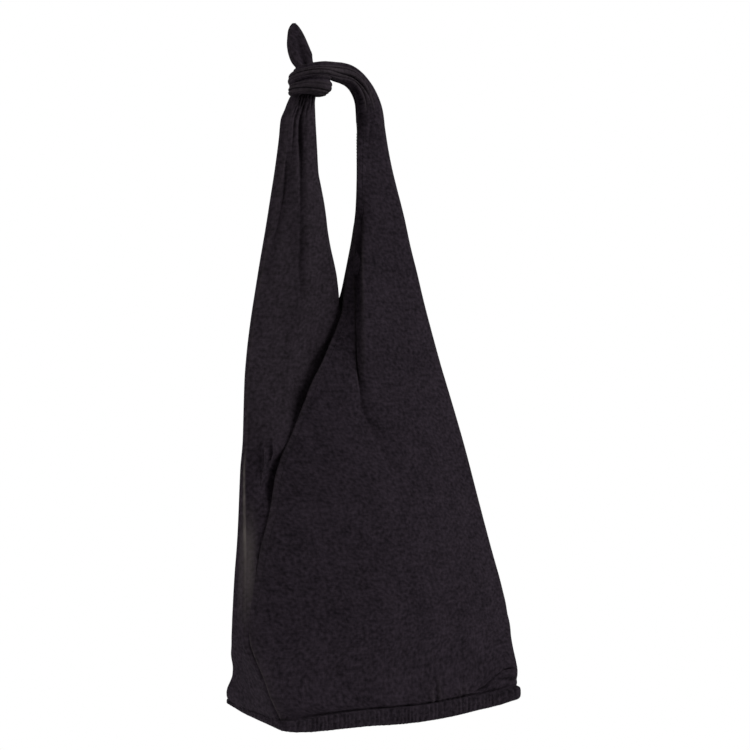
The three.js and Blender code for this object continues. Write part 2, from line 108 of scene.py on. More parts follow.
def fill(tree, node, values):
    """Links each input that is given a socket, and sets any other to its plain value."""
    for name, value in values.items():
        if isinstance(value, bpy.types.NodeSocket):
            tree.links.new(value, node.inputs[name])
        else:
            node.inputs[name].default_value = value


def add_node(tree, kind, values=None, **settings):
    node = tree.nodes.new(kind)
    for setting, value in settings.items():
        setattr(node, setting, value)
    fill(tree, node, values or {})
    return node


def camera_only(tree, share, lit, seen, output):
    """Shows one shader to the camera, by a share, and lights the scene with another."""
    surface = add_node(tree, "ShaderNodeMixShader", {"Fac": share, 1: lit, 2: seen})
    fill(tree, tree.nodes[output], {"Surface": surface.outputs["Shader"]})


world = bpy.data.worlds.new("studio")
world.use_nodes = True
scene.world = world
sky = world.node_tree.nodes["Background"]
fill(world.node_tree, sky, {"Color": WHITE, "Strength": WORLD_STRENGTH})
backdrop = add_node(world.node_tree, "ShaderNodeBackground", {"Color": WHITE})
ray = add_node(world.node_tree, "ShaderNodeLightPath").outputs["Is Camera Ray"]
camera_only(world.node_tree, ray, sky.outputs["Background"], backdrop.outputs["Background"], "World Output")
print("world gives", WORLD_STRENGTH, "of the light that it shows")

# %% [markdown]
# A floor well below the bag throws a little light up at it. Part of what the camera sees of it is glow, or
# its far edge would show as a grey line.

# %% Floor below the bag
FLOOR_DROP = 360
FLOOR_RADIUS = 0.85
FLOOR_SIDES = 96
FLOOR_PAINT = (0.9, 0.9, 0.9, 1)
FLOOR_ROUGHNESS = 0.9
FLOOR_GLOW = 0.7


def new_material(name, finish):
    """A material with some inputs of its main shader set, and its node tree."""
    material = bpy.data.materials.new(name)
    material.use_nodes = True
    fill(material.node_tree, material.node_tree.nodes["Principled BSDF"], finish)
    return material, material.node_tree


def object_from(shape, name, material):
    """A finished bmesh as an object of the scene."""
    mesh = bpy.data.meshes.new(name)
    shape.to_mesh(mesh)
    shape.free()
    mesh.materials.append(material)
    made = bpy.data.objects.new(name, mesh)
    scene.collection.objects.link(made)
    return made


floor_paint, tree = new_material("floor_paint", {"Base Color": FLOOR_PAINT, "Roughness": FLOOR_ROUGHNESS})
glow = add_node(tree, "ShaderNodeEmission")
ray = add_node(tree, "ShaderNodeLightPath").outputs["Is Camera Ray"]
share = add_node(tree, "ShaderNodeMath", {0: ray, 1: FLOOR_GLOW}, operation="MULTIPLY")
paint = tree.nodes["Principled BSDF"]
camera_only(tree, share.outputs["Value"], paint.outputs["BSDF"], glow.outputs["Emission"], "Material Output")
disc = bmesh.new()
bmesh.ops.create_circle(disc, cap_ends=True, segments=FLOOR_SIDES, radius=FLOOR_RADIUS)
bmesh.ops.translate(disc, verts=disc.verts, vec=to_frame((0, 0, -FLOOR_DROP)))
floor = object_from(disc, "floor", floor_paint)
print("floor is", FLOOR_DROP, "mm below the base")

# %% [markdown]
# Black cloth needs soft light from more than one side, or its folds disappear: a broad key at the right, a
# small lamp that draws a rim at the left, and one that fills the back.

# %% Three soft lamps
BAG_MIDDLE = Vector(to_frame((-20, 0, 300)))


def soft_lamp(name, heading, height, distance, width, energy):
    """An area lamp aimed at the bag's middle; its heading counts from the front towards the right."""
    turn, rise = math.radians(heading), math.radians(height)
    away = Vector((math.sin(turn) * math.cos(rise), -math.cos(turn) * math.cos(rise), math.sin(rise)))
    lamp_data = bpy.data.lights.new(name, "AREA")
    lamp_data.size = width
    lamp_data.energy = energy
    lamp = bpy.data.objects.new(name, lamp_data)
    lamp.location = BAG_MIDDLE + away * distance
    lamp.rotation_euler = (-away).to_track_quat("-Z", "Y").to_euler()
    scene.collection.objects.link(lamp)
    print(name, "lamp at", [round(c, 2) for c in lamp.location])


soft_lamp("key", heading=42, height=30, distance=3.2, width=1.7, energy=86)
soft_lamp("left_rim", heading=-97, height=6, distance=2.4, width=0.8, energy=26)
soft_lamp("back_fill", heading=165, height=25, distance=3.2, width=1.4, energy=34)

# %% [markdown]
# ## The cloth
#
# The weave has threads half a millimetre apart, some of them thicker for a few centimetres, called slubs,
# and a dye that took unevenly. It reads a map of the flat cloth in metres, which each sheet carries, so it
# follows every fold. Two finishes share it, so it is a node group.

# %% Weave as a node group
THREAD_PITCH = 0.00058
SLUB_HEIGHT = 1.1
SLUB_ROUGHNESS = 0.45
SLUB_THIN, SLUB_LONG = 1700, 75
FINE_SHARE, CLOUDY_SHARE, BROAD_SHARE = 0.54, 0.26, 0.2


def weave_group():
    group = bpy.data.node_groups.new("plain_weave", "ShaderNodeTree")
    group.interface.new_socket("Flat Cloth", in_out="INPUT", socket_type="NodeSocketVector")
    for name in ("Height", "Slub", "Mottle"):
        group.interface.new_socket(name, in_out="OUTPUT", socket_type="NodeSocketFloat")
    flat = add_node(group, "NodeGroupInput").outputs["Flat Cloth"]

    def calculate(operation, *values):
        node = add_node(group, "ShaderNodeMath", dict(enumerate(values)), operation=operation)
        return node.outputs["Value"]

    def streaks(along, across, seed, roughness):
        stretch = {0: flat, 1: (along, across, 1), 2: (seed, seed, seed)}
        place = add_node(group, "ShaderNodeVectorMath", stretch, operation="MULTIPLY_ADD").outputs["Vector"]
        grain = {"Vector": place, "Scale": 1, "Detail": 2, "Roughness": roughness}
        return add_node(group, "ShaderNodeTexNoise", grain).outputs["Fac"]

    parts = add_node(group, "ShaderNodeSeparateXYZ", {"Vector": flat})
    threads = [calculate("MULTIPLY", parts.outputs[axis], math.pi / THREAD_PITCH) for axis in "XY"]
    warp, weft = [calculate("SINE", thread) for thread in threads]
    crossing = calculate("MULTIPLY_ADD", calculate("MULTIPLY", warp, weft), 0.5, 0.5)
    warp_slub = streaks(SLUB_THIN, SLUB_LONG, 3, SLUB_ROUGHNESS)
    weft_slub = streaks(SLUB_LONG, SLUB_THIN, 11, SLUB_ROUGHNESS)
    slub = calculate("MAXIMUM", warp_slub, weft_slub)
    broad = calculate("MULTIPLY", streaks(34, 30, 47, 0.6), BROAD_SHARE)
    cloudy = calculate("MULTIPLY_ADD", streaks(110, 125, 31, 0.6), CLOUDY_SHARE, broad)
    mottle = calculate("MULTIPLY_ADD", streaks(270, 300, 23, 0.4), FINE_SHARE, cloudy)
    height = calculate("MULTIPLY_ADD", slub, SLUB_HEIGHT, crossing)
    add_node(group, "NodeGroupOutput", {"Height": height, "Slub": slub, "Mottle": mottle})
    return group


plain_weave = weave_group()
print("weave group with", len(plain_weave.nodes), "nodes")

# %% [markdown]
# The seam draws the welt's weave together, so it stands out more. Sheen stands for loose fibres, which
# scatter light at grazing angles. Black cloth pales where it is rubbed, and ridges and a few places are also
# painted paler as a highlight, so each sheet carries one value for wear and painted highlight.

# %% Cloth materials
FLAT_MAP = "flat_cloth"
# The value each sheet carries and the pale colour it mixes in: wear, and painted highlight.
WEAR_AND_HIGHLIGHT_ATTRIBUTE = "wear_and_highlight"
WEAR_AND_HIGHLIGHT_COLOUR = (0.17, 0.15, 0.138, 1)
MOTTLE_RANGE = {"From Min": 0.36, "From Max": 0.64}
SLUB_RANGE = {"From Min": 0.5, "From Max": 0.74}
MOTTLE_IN_COLOUR = 0.75
SLUB_IN_COLOUR = 0.25
WEAVE_RELIEF = 0.00022
CLOTH_FINISH = {
    "Roughness": 0.92, "Specular IOR Level": 0.08, "Sheen Weight": 0.012, "Sheen Roughness": 0.45,
    "Sheen Tint": (0.62, 0.56, 0.6, 1)
}


def cloth_material(name, dark, pale, bump_strength):
    material, tree = new_material(name, CLOTH_FINISH)
    flat = add_node(tree, "ShaderNodeUVMap", uv_map=FLAT_MAP).outputs["UV"]
    weave = add_node(tree, "ShaderNodeGroup", node_tree=plain_weave)
    fill(tree, weave, {"Flat Cloth": flat})
    mottle = add_node(tree, "ShaderNodeMapRange", {"Value": weave.outputs["Mottle"], **MOTTLE_RANGE})
    slub = add_node(tree, "ShaderNodeMapRange", {"Value": weave.outputs["Slub"], **SLUB_RANGE})
    mottled = {0: mottle.outputs["Result"], 1: MOTTLE_IN_COLOUR}
    mottled = add_node(tree, "ShaderNodeMath", mottled, operation="MULTIPLY").outputs["Value"]
    share = {0: slub.outputs["Result"], 1: SLUB_IN_COLOUR, 2: mottled}
    share = add_node(tree, "ShaderNodeMath", share, operation="MULTIPLY_ADD", use_clamp=True)
    dyed = {"Factor": share.outputs["Value"], "A": (*dark, 1), "B": (*pale, 1)}
    dyed = add_node(tree, "ShaderNodeMix", dyed, data_type="RGBA").outputs["Result"]
    # Paler where worn, and paler again where a highlight is painted on ridges and marked places.
    wear_and_highlight_share = add_node(tree, "ShaderNodeAttribute", attribute_name=WEAR_AND_HIGHLIGHT_ATTRIBUTE).outputs["Fac"]
    worn_and_highlit = {"Factor": wear_and_highlight_share, "A": dyed, "B": WEAR_AND_HIGHLIGHT_COLOUR}
    worn_and_highlit = add_node(tree, "ShaderNodeMix", worn_and_highlit, data_type="RGBA").outputs["Result"]
    relief = {"Strength": bump_strength, "Distance": WEAVE_RELIEF, "Height": weave.outputs["Height"]}
    relief = add_node(tree, "ShaderNodeBump", relief).outputs["Normal"]
    fill(tree, tree.nodes["Principled BSDF"], {"Base Color": worn_and_highlit, "Normal": relief})
    return material


black_cloth = cloth_material("black_cloth", (0.0068, 0.0048, 0.0073), (0.0376, 0.028, 0.0386), 0.7)
welt_cloth = cloth_material("welt_cloth", (0.006, 0.0043, 0.0065), (0.0385, 0.0292, 0.0395), 0.9)
print("cloth finishes:", black_cloth.name, welt_cloth.name)

# %% [markdown]
# ## The shape of the bag
#
# Width, depth and the place of each fold are curves through a handful of measured stations. This kind of
# curve never swings past its stations, which would make bulges that nobody measured.

# %% A smooth curve, ramps and soft steps
def curve(*stations):
    heights, values = np.array(stations, float).T
    steps = np.diff(heights)
    slopes = np.diff(values) / steps
    tangents = np.zeros(len(values))
    tangents[0], tangents[-1] = slopes[0], slopes[-1]
    for i in range(1, len(values) - 1):
        before, after = slopes[i - 1], slopes[i]
        if before * after > 0:
            tangents[i] = 2 * before * after / (before + after)

    def value_at(height):
        height = np.clip(height, heights[0], heights[-1])
        i = np.clip(np.searchsorted(heights, height) - 1, 0, len(steps) - 1)
        step = steps[i]
        t = (height - heights[i]) / step
        start = (1 + 2 * t) * (1 - t) ** 2 * values[i] + t * (1 - t) ** 2 * step * tangents[i]
        end = t**2 * (3 - 2 * t) * values[i + 1] + t**2 * (t - 1) * step * tangents[i + 1]
        return start + end

    return value_at


def ramp(low, high, value):
    return np.clip((value - low) / (high - low), 0, 1)


def ease(low, high, value):
    t = ramp(low, high, value)
    return t * t * (3 - 2 * t)


def fade(low, high, value):
    return 1 - ease(low, high, value)


def between(rise, fall, value):
    """One between a soft rise and a soft fall, and nothing outside them."""
    return ease(*rise, value) * fade(*fall, value)


def mix(a, b, share):
    return a + (b - a) * share

# %% [markdown]
# The outline says how far the sides stand out, how deep the bag is at its sides and in the middle of its
# faces, and how round its upright edges are. The boxed corners are pinched flat, so the sides are shallower
# than the faces.

# %% Outline curves
left_side = curve(
    (0, -140), (10, -142.3), (27, -145), (44, -148.8), (61, -154.5), (77, -157.9), (92, -158.2),
    (107, -157.8), (136, -156.8), (165, -155.5), (194, -155), (238, -154.2), (267, -151.8), (296, -151),
    (325, -150), (354, -147.4), (383, -143.4), (412, -138.4), (442, -132.9), (471, -127.4), (501, -122.2),
    (531, -117), (562, -112.5), (580, -110.5), (592, -105.5), (603, -100.5), (612, -95), (622, -90),
    (644, -88),
)
right_side = curve(
    (0, 142), (11, 144.6), (25, 145.8), (39, 148.2), (53, 152.4), (69, 157.2), (82, 156.6), (99, 153),
    (115, 148.6), (131, 143.6), (148, 138.6), (180, 130.2), (212, 121.4), (245, 112), (277, 101.4),
    (309, 90), (340, 78.7), (372, 67.9), (403, 58), (434, 49.1), (464, 39.7), (495, 31.8), (525, 22.8),
    (540, 18.4), (555, 14.6), (570, 11.4), (585, 8.6),
)
side_depth = curve(
    (0, 57.3), (10, 52.5), (30, 41.5), (55, 27.5), (75, 15.5), (95, 13), (123, 11.5), (152, 9.5),
    (181, 6.8), (210, 5), (253, 3.2), (300, 2.9), (409, 3.2), (440, 3.6), (480, 5), (560, 5.5), (605, 6),
    (644, 6),
)
middle_depth = curve(
    (0, 57.3), (10, 57), (40, 51.5), (80, 42.5), (190, 30.5), (300, 20.5), (409, 13), (440, 11), (500, 10),
    (560, 10), (605, 10), (644, 9),
)
corner_radius = curve(
    (0, 6), (40, 5), (75, 3.2), (123, 2.9), (253, 2.6), (440, 3), (480, 4.4), (560, 5.1), (644, 5.6),
)
for z in (0, 80, 190, 300, 409):
    print(z, "mm up:", round(right_side(z) - left_side(z)), "by", round(2 * middle_depth(z)), "mm")

# %% [markdown]
# A wing's free edge slants up over the face from a lower corner to the crossing, and on up the inside of
# its strap. The right wing lies on top at the front and the left one at the back, like clasped hands.

# %% Free edges of the wings
right_front_edge = curve(
    (0, -136.4), (10, -139.2), (27, -144), (44, -147), (61, -151.2), (78, -152.8), (92, -152.8),
    (106, -151.4), (139, -144.6), (163, -139.8), (191, -132), (215, -126.8), (229, -124.2), (248, -118.2),
    (257, -114), (267, -108.4), (281, -101.6), (294, -95.8), (306, -90), (320, -83.8), (330, -77.7),
    (345, -67), (360, -56.6), (370, -50.9), (378, -47.2), (391, -41.3), (416, -37.2), (433, -34.8),
    (448, -32.8), (463, -29.4), (479, -27.2), (494, -26.2), (509, -27.2), (525, -28), (545, -28),
    (565, -26.6), (585, -24),
)
right_back_edge = curve(
    (0, -136), (92, -151), (163, -138), (215, -126), (267, -106), (320, -83), (360, -60), (396, -42),
    (417, -34.6), (433, -31.6), (448, -29.6), (463, -27.9), (479, -26.5), (494, -25), (509, -25.4),
    (525, -25.5), (555, -25.5), (585, -23),
)
left_front_edge = curve(
    (0, 136), (82, 150), (163, 118), (215, 90), (258, 63), (306, 22), (345, -12), (369, -30), (396, -39.6),
    (414, -43), (429, -46.6), (444, -51.6), (458, -56), (473, -59.2), (488, -61.2), (503, -64),
    (517, -67.4), (532, -70.4), (562, -71.6), (592, -73.5), (600, -74), (612, -72), (622, -69), (644, -69),
)
left_back_edge = curve(
    (0, 138.8), (11, 140.6), (39, 148.6), (69, 155.7), (92, 152), (115, 145), (163, 122), (215, 94),
    (258, 66), (306, 25), (345, -9), (369, -31), (396, -44), (414, -50), (429, -53.5), (444, -56.5),
    (458, -59.5), (473, -62.5), (503, -67), (532, -72), (562, -73), (592, -74), (612, -72), (622, -69),
    (644, -69),
)
crossing = next(z for z in range(300, 500) if right_front_edge(z) > left_front_edge(z))
print("the front edges cross", crossing, "mm above the base")

# %% [markdown]
# A face bows out between its sides and turns over at either one. Pulled cloth folds along the lines of
# pull: a groove is a soft valley along a line, and a crease has a sharp bottom. Slack cloth has small
# waves, from smooth noise that is the same at each run.

# %% Bowed faces, grooves and waves
def bowed_depth(x, z, out=0):
    """Half depth of the bag at a place on its face, and out millimetres off it."""
    radius = corner_radius(z)
    left, right = left_side(z) + radius, right_side(z) - radius
    across = ramp(left, right, x)
    depth = mix(side_depth(z), middle_depth(z), 1 - (2 * across - 1) ** 2) + out
    past = np.maximum(np.maximum(left - x, x - right), 0) / (radius + out)
    return depth - (radius + out) * (1 - np.sqrt(np.clip(1 - past**2, 0, 1)))


def groove(place, line, width):
    """One in the bottom of a valley, nothing beyond it."""
    return np.exp(-(((place - line) / width) ** 2))


def crease(place, line, width):
    """A valley with a sharp bottom, such as a pressed fold."""
    return np.exp(-np.abs((place - line) / width) ** 1.15)


def waves(points, size, seed):
    """Smooth noise at each point, with bumps about size millimetres apart."""
    flat = np.asarray(points, float).reshape(-1, 3) / size + seed
    values = np.array([noise.noise(Vector(p)) for p in flat])
    return values.reshape(np.shape(points)[:-1])


def mixed_waves(points, kinds):
    """A sum of waves, where each kind has a height, a size and a seed."""
    return sum(far * waves(points, size, seed) for far, size, seed in kinds)

# %% [markdown]
# The empty base hangs down between its seams, and the walls follow it for a hand's breadth. The back left
# corner is drawn up instead. The welt is taller where the seam takes more cloth.

# %% Sag of the base and height of the welt
BASE_HALF_WIDTH = 140
BASE_HALF_DEPTH = 57.5
SAG_TOP = 75
LIFT = 4.4
LIFT_TOP = 30
base_sag = curve(
    (-141, 2.6), (-122, 6.2), (-105, 8), (-78, 9.4), (-51, 10.6), (-33, 12), (-9, 14), (24, 15.2),
    (53, 14.8), (83, 12.8), (114, 10.8), (135, 7.2), (141, 6.4),
)
welt_front = curve(
    (-141, 9), (-119, 11.4), (-98, 13.6), (-54, 14.8), (0, 15.4), (65, 15.2), (91, 14.2), (118, 13.2),
    (141, 11.6),
)
welt_left = curve((-58, 9), (58, 3.5))
welt_back = curve((-141, 3.5), (-105, 12), (-60, 14.5), (65, 15), (118, 13.2), (141, 11.6))
WELT_RIGHT = 11.6


def sag_below(points):
    """How far the cloth hangs below its place."""
    x, y, z = np.moveaxis(points, -1, 0)
    lifted = LIFT * groove(x, -144, 18) * groove(y, 58, 20)
    return base_sag(x) * fade(0, SAG_TOP, z) - lifted * fade(0, LIFT_TOP, z)


def welt_height(x, y):
    """Height of the welt at the side of the base that is nearest."""
    ways = (y + BASE_HALF_DEPTH, BASE_HALF_DEPTH - y, x + BASE_HALF_WIDTH, BASE_HALF_WIDTH - x)
    nearest = np.argmin(np.stack(np.broadcast_arrays(*ways)), axis=0)
    heights = (welt_front(x), welt_back(x), welt_left(y), WELT_RIGHT + 0 * x)
    return np.choose(nearest, np.broadcast_arrays(*heights))


print("the base sags", round(base_sag(0), 1), "mm in its middle")

# %% [markdown]
# ## From a grid to a wing
#
# A wing is a grid with its rows across the bag. A row starts in the turned hem at one free edge, runs over
# one layer, round the outer fold and back over the other layer, and ends in the other hem.

# %% Columns of a wing
HEM = ((9, -1.7), (5, -1.8), (1.6, -1.6), (0, -0.9))
FULL_HEM_WIDTH = 40


def even_shares(count):
    return np.linspace(0, 1, count + 1)


def section_across(front, back, outer, radius, side, front_depth, back_depth, side_columns=24):
    """Widths and depths of one row, from the columns of each layer, which end at the outer fold."""
    fold = outer - radius
    hem_scale = min(1, (fold - front[0]) / FULL_HEM_WIDTH)
    inwards, lift = np.array(HEM).T
    front_hem, back_hem = front[0] + inwards * hem_scale, back[0] + inwards * hem_scale
    flat_half = max(side - radius, 0)
    start, end = front_depth(front[-1:])[0], -back_depth(back[-1:])[0]
    quarter = 0.5 * math.pi * radius
    path = np.linspace(0, 2 * (quarter + flat_half), side_columns + 1)[1:-1]
    turn = np.clip(path, 0, quarter) + np.clip(path - quarter - 2 * flat_half, 0, quarter)
    round_depth = radius * np.cos(turn / radius) + flat_half - np.clip(path - quarter, 0, 2 * flat_half)
    round_depth = mix(end, start, (round_depth + side) / (2 * side))
    width = [front_hem, front, fold + radius * np.sin(turn / radius), back[::-1], back_hem[::-1]]
    depth = [front_depth(front_hem) + lift, front_depth(front), round_depth, -back_depth(back)[::-1],
             -(back_depth(back_hem) + lift)[::-1]]
    return np.concatenate(width), np.concatenate(depth)

# %% [markdown]
# A wing's foot is tucked into the welt and drawn into puckers by the seam, and the rest is slack enough for
# small waves. Both wings share this step, which moves the finished grid. At the front's right corner a
# pinched fold takes the place of the puckers.

# %% Tuck, puckers, waves and sag
SOFT_TUCK, FIRM_TUCK = 1.3, 2.4
SOFT_TUCK_RANGE, FIRM_TUCK_RANGE = (0, 12), (-0.6, 2.4)
PUCKER_DEPTH = 1.1
FACE_WAVES = ((1.7, 90, 3), (1, 38, 17))
WAVE_STRETCH = (1, 1, 0.6)
WAVE_ROWS = (10, 60), (400, 480)
SIDE_MARGIN = (2, 16)
EAR_REACH, EAR_HOLLOW = 4.2, 1.8


def length(vectors):
    return np.linalg.norm(vectors, axis=-1)


def unit(vectors):
    return vectors / np.maximum(length(vectors), 1e-12)[..., None]


def outward(places):
    """Unit directions away from the bag at each point of a grid."""
    return unit(np.cross(np.gradient(places, axis=1), np.gradient(places, axis=0)))


def foot_puckers(x, y, over_welt):
    """Puckers above the welt, of uneven pitch and reach."""
    reach = 8 + 5 * np.sin(x * 0.19 + 0.7) + 3 * np.sin(x * 0.071)
    strength = PUCKER_DEPTH * np.exp(-np.clip(over_welt, 0, 400) / reach)
    pucker = np.sin(x * 0.86 + 1.2 * np.sin(x * 0.11)) + 0.6 * np.sin(x * 0.53 + y * 0.7)
    return strength * pucker * (1 - ease(76, 92, x) * ease(-20, -36, y))


def slack_waves(places):
    """Waves over the bag's faces, flat at its sides, at its foot and on the straps."""
    x, z = places[..., 0], places[..., 2]
    wave = mixed_waves(places * WAVE_STRETCH, FACE_WAVES) * between(*WAVE_ROWS, z)
    return wave * ease(*SIDE_MARGIN, x - left_side(z)) * ease(*SIDE_MARGIN, right_side(z) - x)


def hang(places):
    """A wing's grid with its tuck, puckers and waves, sagging."""
    x, y, z = np.moveaxis(places, -1, 0)
    over_welt = z - welt_height(x, y)
    tuck = SOFT_TUCK * fade(*SOFT_TUCK_RANGE, over_welt) + FIRM_TUCK * fade(*FIRM_TUCK_RANGE, over_welt)
    tuck = tuck * (1 - 0.5 * ease(124, 140, x))
    normal = outward(places)
    turned = len(HEM) + 1
    normal[:, :turned] = normal[:, turned : turned + 1]
    normal[:, -turned:] = normal[:, -turned - 1 : -turned]
    moved = places + normal * (slack_waves(places) + foot_puckers(x, y, over_welt))[..., None]
    moved[..., 0] *= 1 - 0.5 * tuck / BASE_HALF_WIDTH
    moved[..., 1] *= 1 - tuck / BASE_HALF_DEPTH
    ear = groove(y, 52, 24) * ease(-118, -132, x)
    moved[..., 0] -= ear * (EAR_REACH * fade(20, 36, z) - EAR_HOLLOW * groove(z, 43, 8))
    moved[..., 2] -= sag_below(places)
    return moved

# %% [markdown]
# Moving the vertices of a plain grid keeps a sheet in one piece. Its map of the flat cloth comes from the
# lengths along its own rows and columns, so the weave is nowhere stretched. Where a row bends sharply over
# a ridge, the cloth is painted paler, partly as wear and partly as a painted highlight. The thickness is a
# modifier.

# %% Grid of cloth, moved into place
CLOTH_THICKNESS = 0.0009
RIDGE_BENDS = (90, 380)


def run_along(points):
    """Distances along a line of points, from its first one."""
    return np.concatenate([[0], np.cumsum(length(np.diff(points, axis=0)))])


def ridge_wear_and_highlight(metres):
    """Wear and painted highlight: nothing on flat cloth and in valleys, up to one on sharp ridges."""
    bend = np.zeros(metres.shape[:2])
    second = 2 * metres[:, 1:-1] - metres[:, 2:] - metres[:, :-2]
    step = 0.5 * length(metres[:, 2:] - metres[:, :-2])
    bend[:, 1:-1] = np.sum(second * outward(metres)[:, 1:-1], axis=2) / np.maximum(step, 1e-4) ** 2
    ridge = ease(*RIDGE_BENDS, bend)
    for _ in range(2):
        ridge[1:-1] = 0.25 * ridge[:-2] + 0.5 * ridge[1:-1] + 0.25 * ridge[2:]
        ridge[:, 1:-1] = 0.25 * ridge[:, :-2] + 0.5 * ridge[:, 1:-1] + 0.25 * ridge[:, 2:]
    return ridge


def cloth_sheet(name, places, material, thickness=CLOTH_THICKNESS, ridge_wear_and_highlight_strength=0.12, painted_highlight_and_wear=0):
    """A sheet with one vertex for each place in a grid of bag millimetres, and its area."""
    rows, columns = places.shape[:2]
    metres = to_frame(places)
    # Ridges are painted paler, partly as wear and partly as a painted highlight; marked places add more.
    wear_and_highlight_share = np.clip(ridge_wear_and_highlight(metres) * ridge_wear_and_highlight_strength + painted_highlight_and_wear, 0, 1)
    middle = columns // 2
    across = np.cumsum(length(np.diff(metres, axis=1)), axis=1)
    across = np.concatenate([np.zeros((rows, 1)), across], axis=1)
    across -= across[:, middle : middle + 1]
    along = run_along(metres[:, middle])
    grid = bmesh.new()
    bmesh.ops.create_grid(grid, x_segments=columns - 1, y_segments=rows - 1, size=0.5)
    wear_and_highlight = grid.verts.layers.float.new(WEAR_AND_HIGHLIGHT_ATTRIBUTE)
    flat = grid.loops.layers.uv.new(FLAT_MAP)
    spot_of = {}
    for vertex in grid.verts:
        spot = round((vertex.co.y + 0.5) * (rows - 1)), round((vertex.co.x + 0.5) * (columns - 1))
        spot_of[vertex] = spot
        vertex.co = metres[spot]
        vertex[wear_and_highlight] = wear_and_highlight_share[spot]
    for face in grid.faces:
        face.smooth = True
        for loop in face.loops:
            spot = spot_of[loop.vert]
            loop[flat].uv = (across[spot], along[spot[0]])
    piece = object_from(grid, name, material)
    if thickness:
        wall = piece.modifiers.new("cloth", "SOLIDIFY")
        wall.thickness = thickness
        wall.offset = -1
    up, right = metres[1:, :-1] - metres[:-1, :-1], metres[:-1, 1:] - metres[:-1, :-1]
    area = float(length(np.cross(up, right)).sum())
    print(name, "has", rows, "by", columns, "points and", round(area, 4), "m2 of cloth")
    return piece, area

# %% [markdown]
# ## The right wing
#
# The wing on top covers most of the front, and the end of its strap is wound round the other one. From the
# crown on, its rows follow a line through space: over the crown, and on as a helix that tightens and sinks.

# %% The line of the right strap over the crown and round the knot
KNOT_X = -77.3
WRAP_START = math.radians(-50)
WRAP_TURN = math.radians(565)
WRAP_STATIONS = 64
LEVEL_TOP = 585
STRAP_STEPS = 128
SUBSTEPS = 12
CLIMB = (
    (-7.7, 0, 577), (-7.7, 0, 585), (-8.8, 0, 597), (-11, 0, 608), (-15.5, 0, 618), (-22.5, 0, 626.5),
    (-31, 0, 632), (-40, -0.5, 634), (-50, -3.5, 633.8), (-58.5, -8, 633.2),
)
wrap_radius = curve((0, 16.6), (250, 16.6), (285, 14.6), (310, 13.2), (340, 14.2), (400, 16), (565, 16.4))
wrap_height = curve(
    (0, 632.4), (40, 630.6), (90, 627.6), (150, 624.5), (220, 620.5), (290, 618), (340, 617.2),
    (400, 615.4), (450, 614.8), (500, 614), (565, 613),
)


def wrap_place(turned):
    angle, degrees = WRAP_START - turned, math.degrees(turned)
    radius = wrap_radius(degrees)
    return KNOT_X + radius * math.cos(angle), radius * math.sin(angle), wrap_height(degrees)


def at_runs(at, run, points):
    """What a line of points comes to at given distances along it."""
    return np.array([np.interp(at, run, column) for column in points.T]).T


def evenly_along(points, count, skip):
    """Even steps along a smooth line through points, the first few of which only set its start."""
    padded = np.vstack([points[0] * 2 - points[1], points, points[-1] * 2 - points[-2]])
    fine = []
    for i in range(len(points) - 1):
        p0, p1, p2, p3 = padded[i : i + 4]
        for t in np.linspace(0, 1, SUBSTEPS, endpoint=False):
            fine.append(0.5 * (2 * p1 + (p2 - p0) * t + (2 * p0 - 5 * p1 + 4 * p2 - p3) * t**2
                               + (3 * p1 - p0 - 3 * p2 + p3) * t**3))
    fine = np.array(fine[SUBSTEPS * skip :] + [points[-1]])
    run = run_along(fine)
    at = np.linspace(0, run[-1], count)
    return at_runs(at, run, fine), at


route = np.vstack([CLIMB, [wrap_place(turned) for turned in np.linspace(0, WRAP_TURN, WRAP_STATIONS)]])
strap_line, strap_run = evenly_along(route, STRAP_STEPS, skip=1)
print("the strap goes on for", round(strap_run[-1]), "mm past the level rows")

# %% [markdown]
# A strap is a wing's two layers drawn together, flat at its edges and full in the middle. The right one's
# inner edge is folded, so its front stays full almost to the edge, with the back tucked under it.

# %% Depth of a strap
fold_depth = curve((485, 1.4), (494, 3), (509, 6), (525, 7.2), (545, 7.4), (565, 6), (585, 1.6))
fold_fullness = curve((485, 1), (509, 0.4), (545, 0.4), (585, 1))
tucked_depth = curve((485, 1.4), (509, -4), (525, -5), (555, -5), (575, -2), (585, 1.4))


def strap_depth(share, z, edge_depth, fullness=1):
    """Half depth of a strap at a share of the way from its inner edge to its outer fold."""
    flat = mix(edge_depth, side_depth(z), share)
    bulge = np.clip(4 * share * (1 - share), 0, 1) ** 0.7
    return flat + fullness * (middle_depth(z) - flat) * bulge

# %% [markdown]
# The pull of the strap draws a long valley down from its inner edge. High up it is a step with a sharp
# crease, because the strip beyond it is turned into the mouth of the bag. Lower down it runs out.

# %% Valley beside the edge of the right wing
STRAP_ROWS = (460, 540)
STEP_ROWS = (316, 346), (440, 500)
STEP_WIDTH = 3.4
LEAST_STRIP = 5
STEP_CREASE = 4.6
STEP_CREASE_WIDTH = 1.1
valley_line = curve(
    (0, 30), (200, 30), (225, 15), (245, 0), (265, -12), (280, -20.6), (293, -26.8), (305, -29.6),
    (325, -29.6), (355, -28.2), (385, -27), (416, -26), (440, -25.6), (455, -25), (470, -23.6),
    (482, -21.8), (494, -20), (510, -18.8), (532, -17.1), (564, -14.3), (585, -12),
)
valley_depth = curve(
    (205, 0), (225, 1.1), (245, 2.2), (265, 3.2), (285, 4.4), (305, 5.4), (325, 6.4), (350, 7.6),
    (416, 7.4), (440, 7.2), (455, 6.6), (470, 5.2), (485, 3.2), (500, 1.2), (530, 0.7), (585, 1.4),
)
valley_width = curve(
    (205, 20), (225, 18), (245, 15), (265, 12), (285, 9), (305, 7), (325, 5), (350, 3), (416, 2.4),
    (480, 3), (520, 5), (585, 5),
)
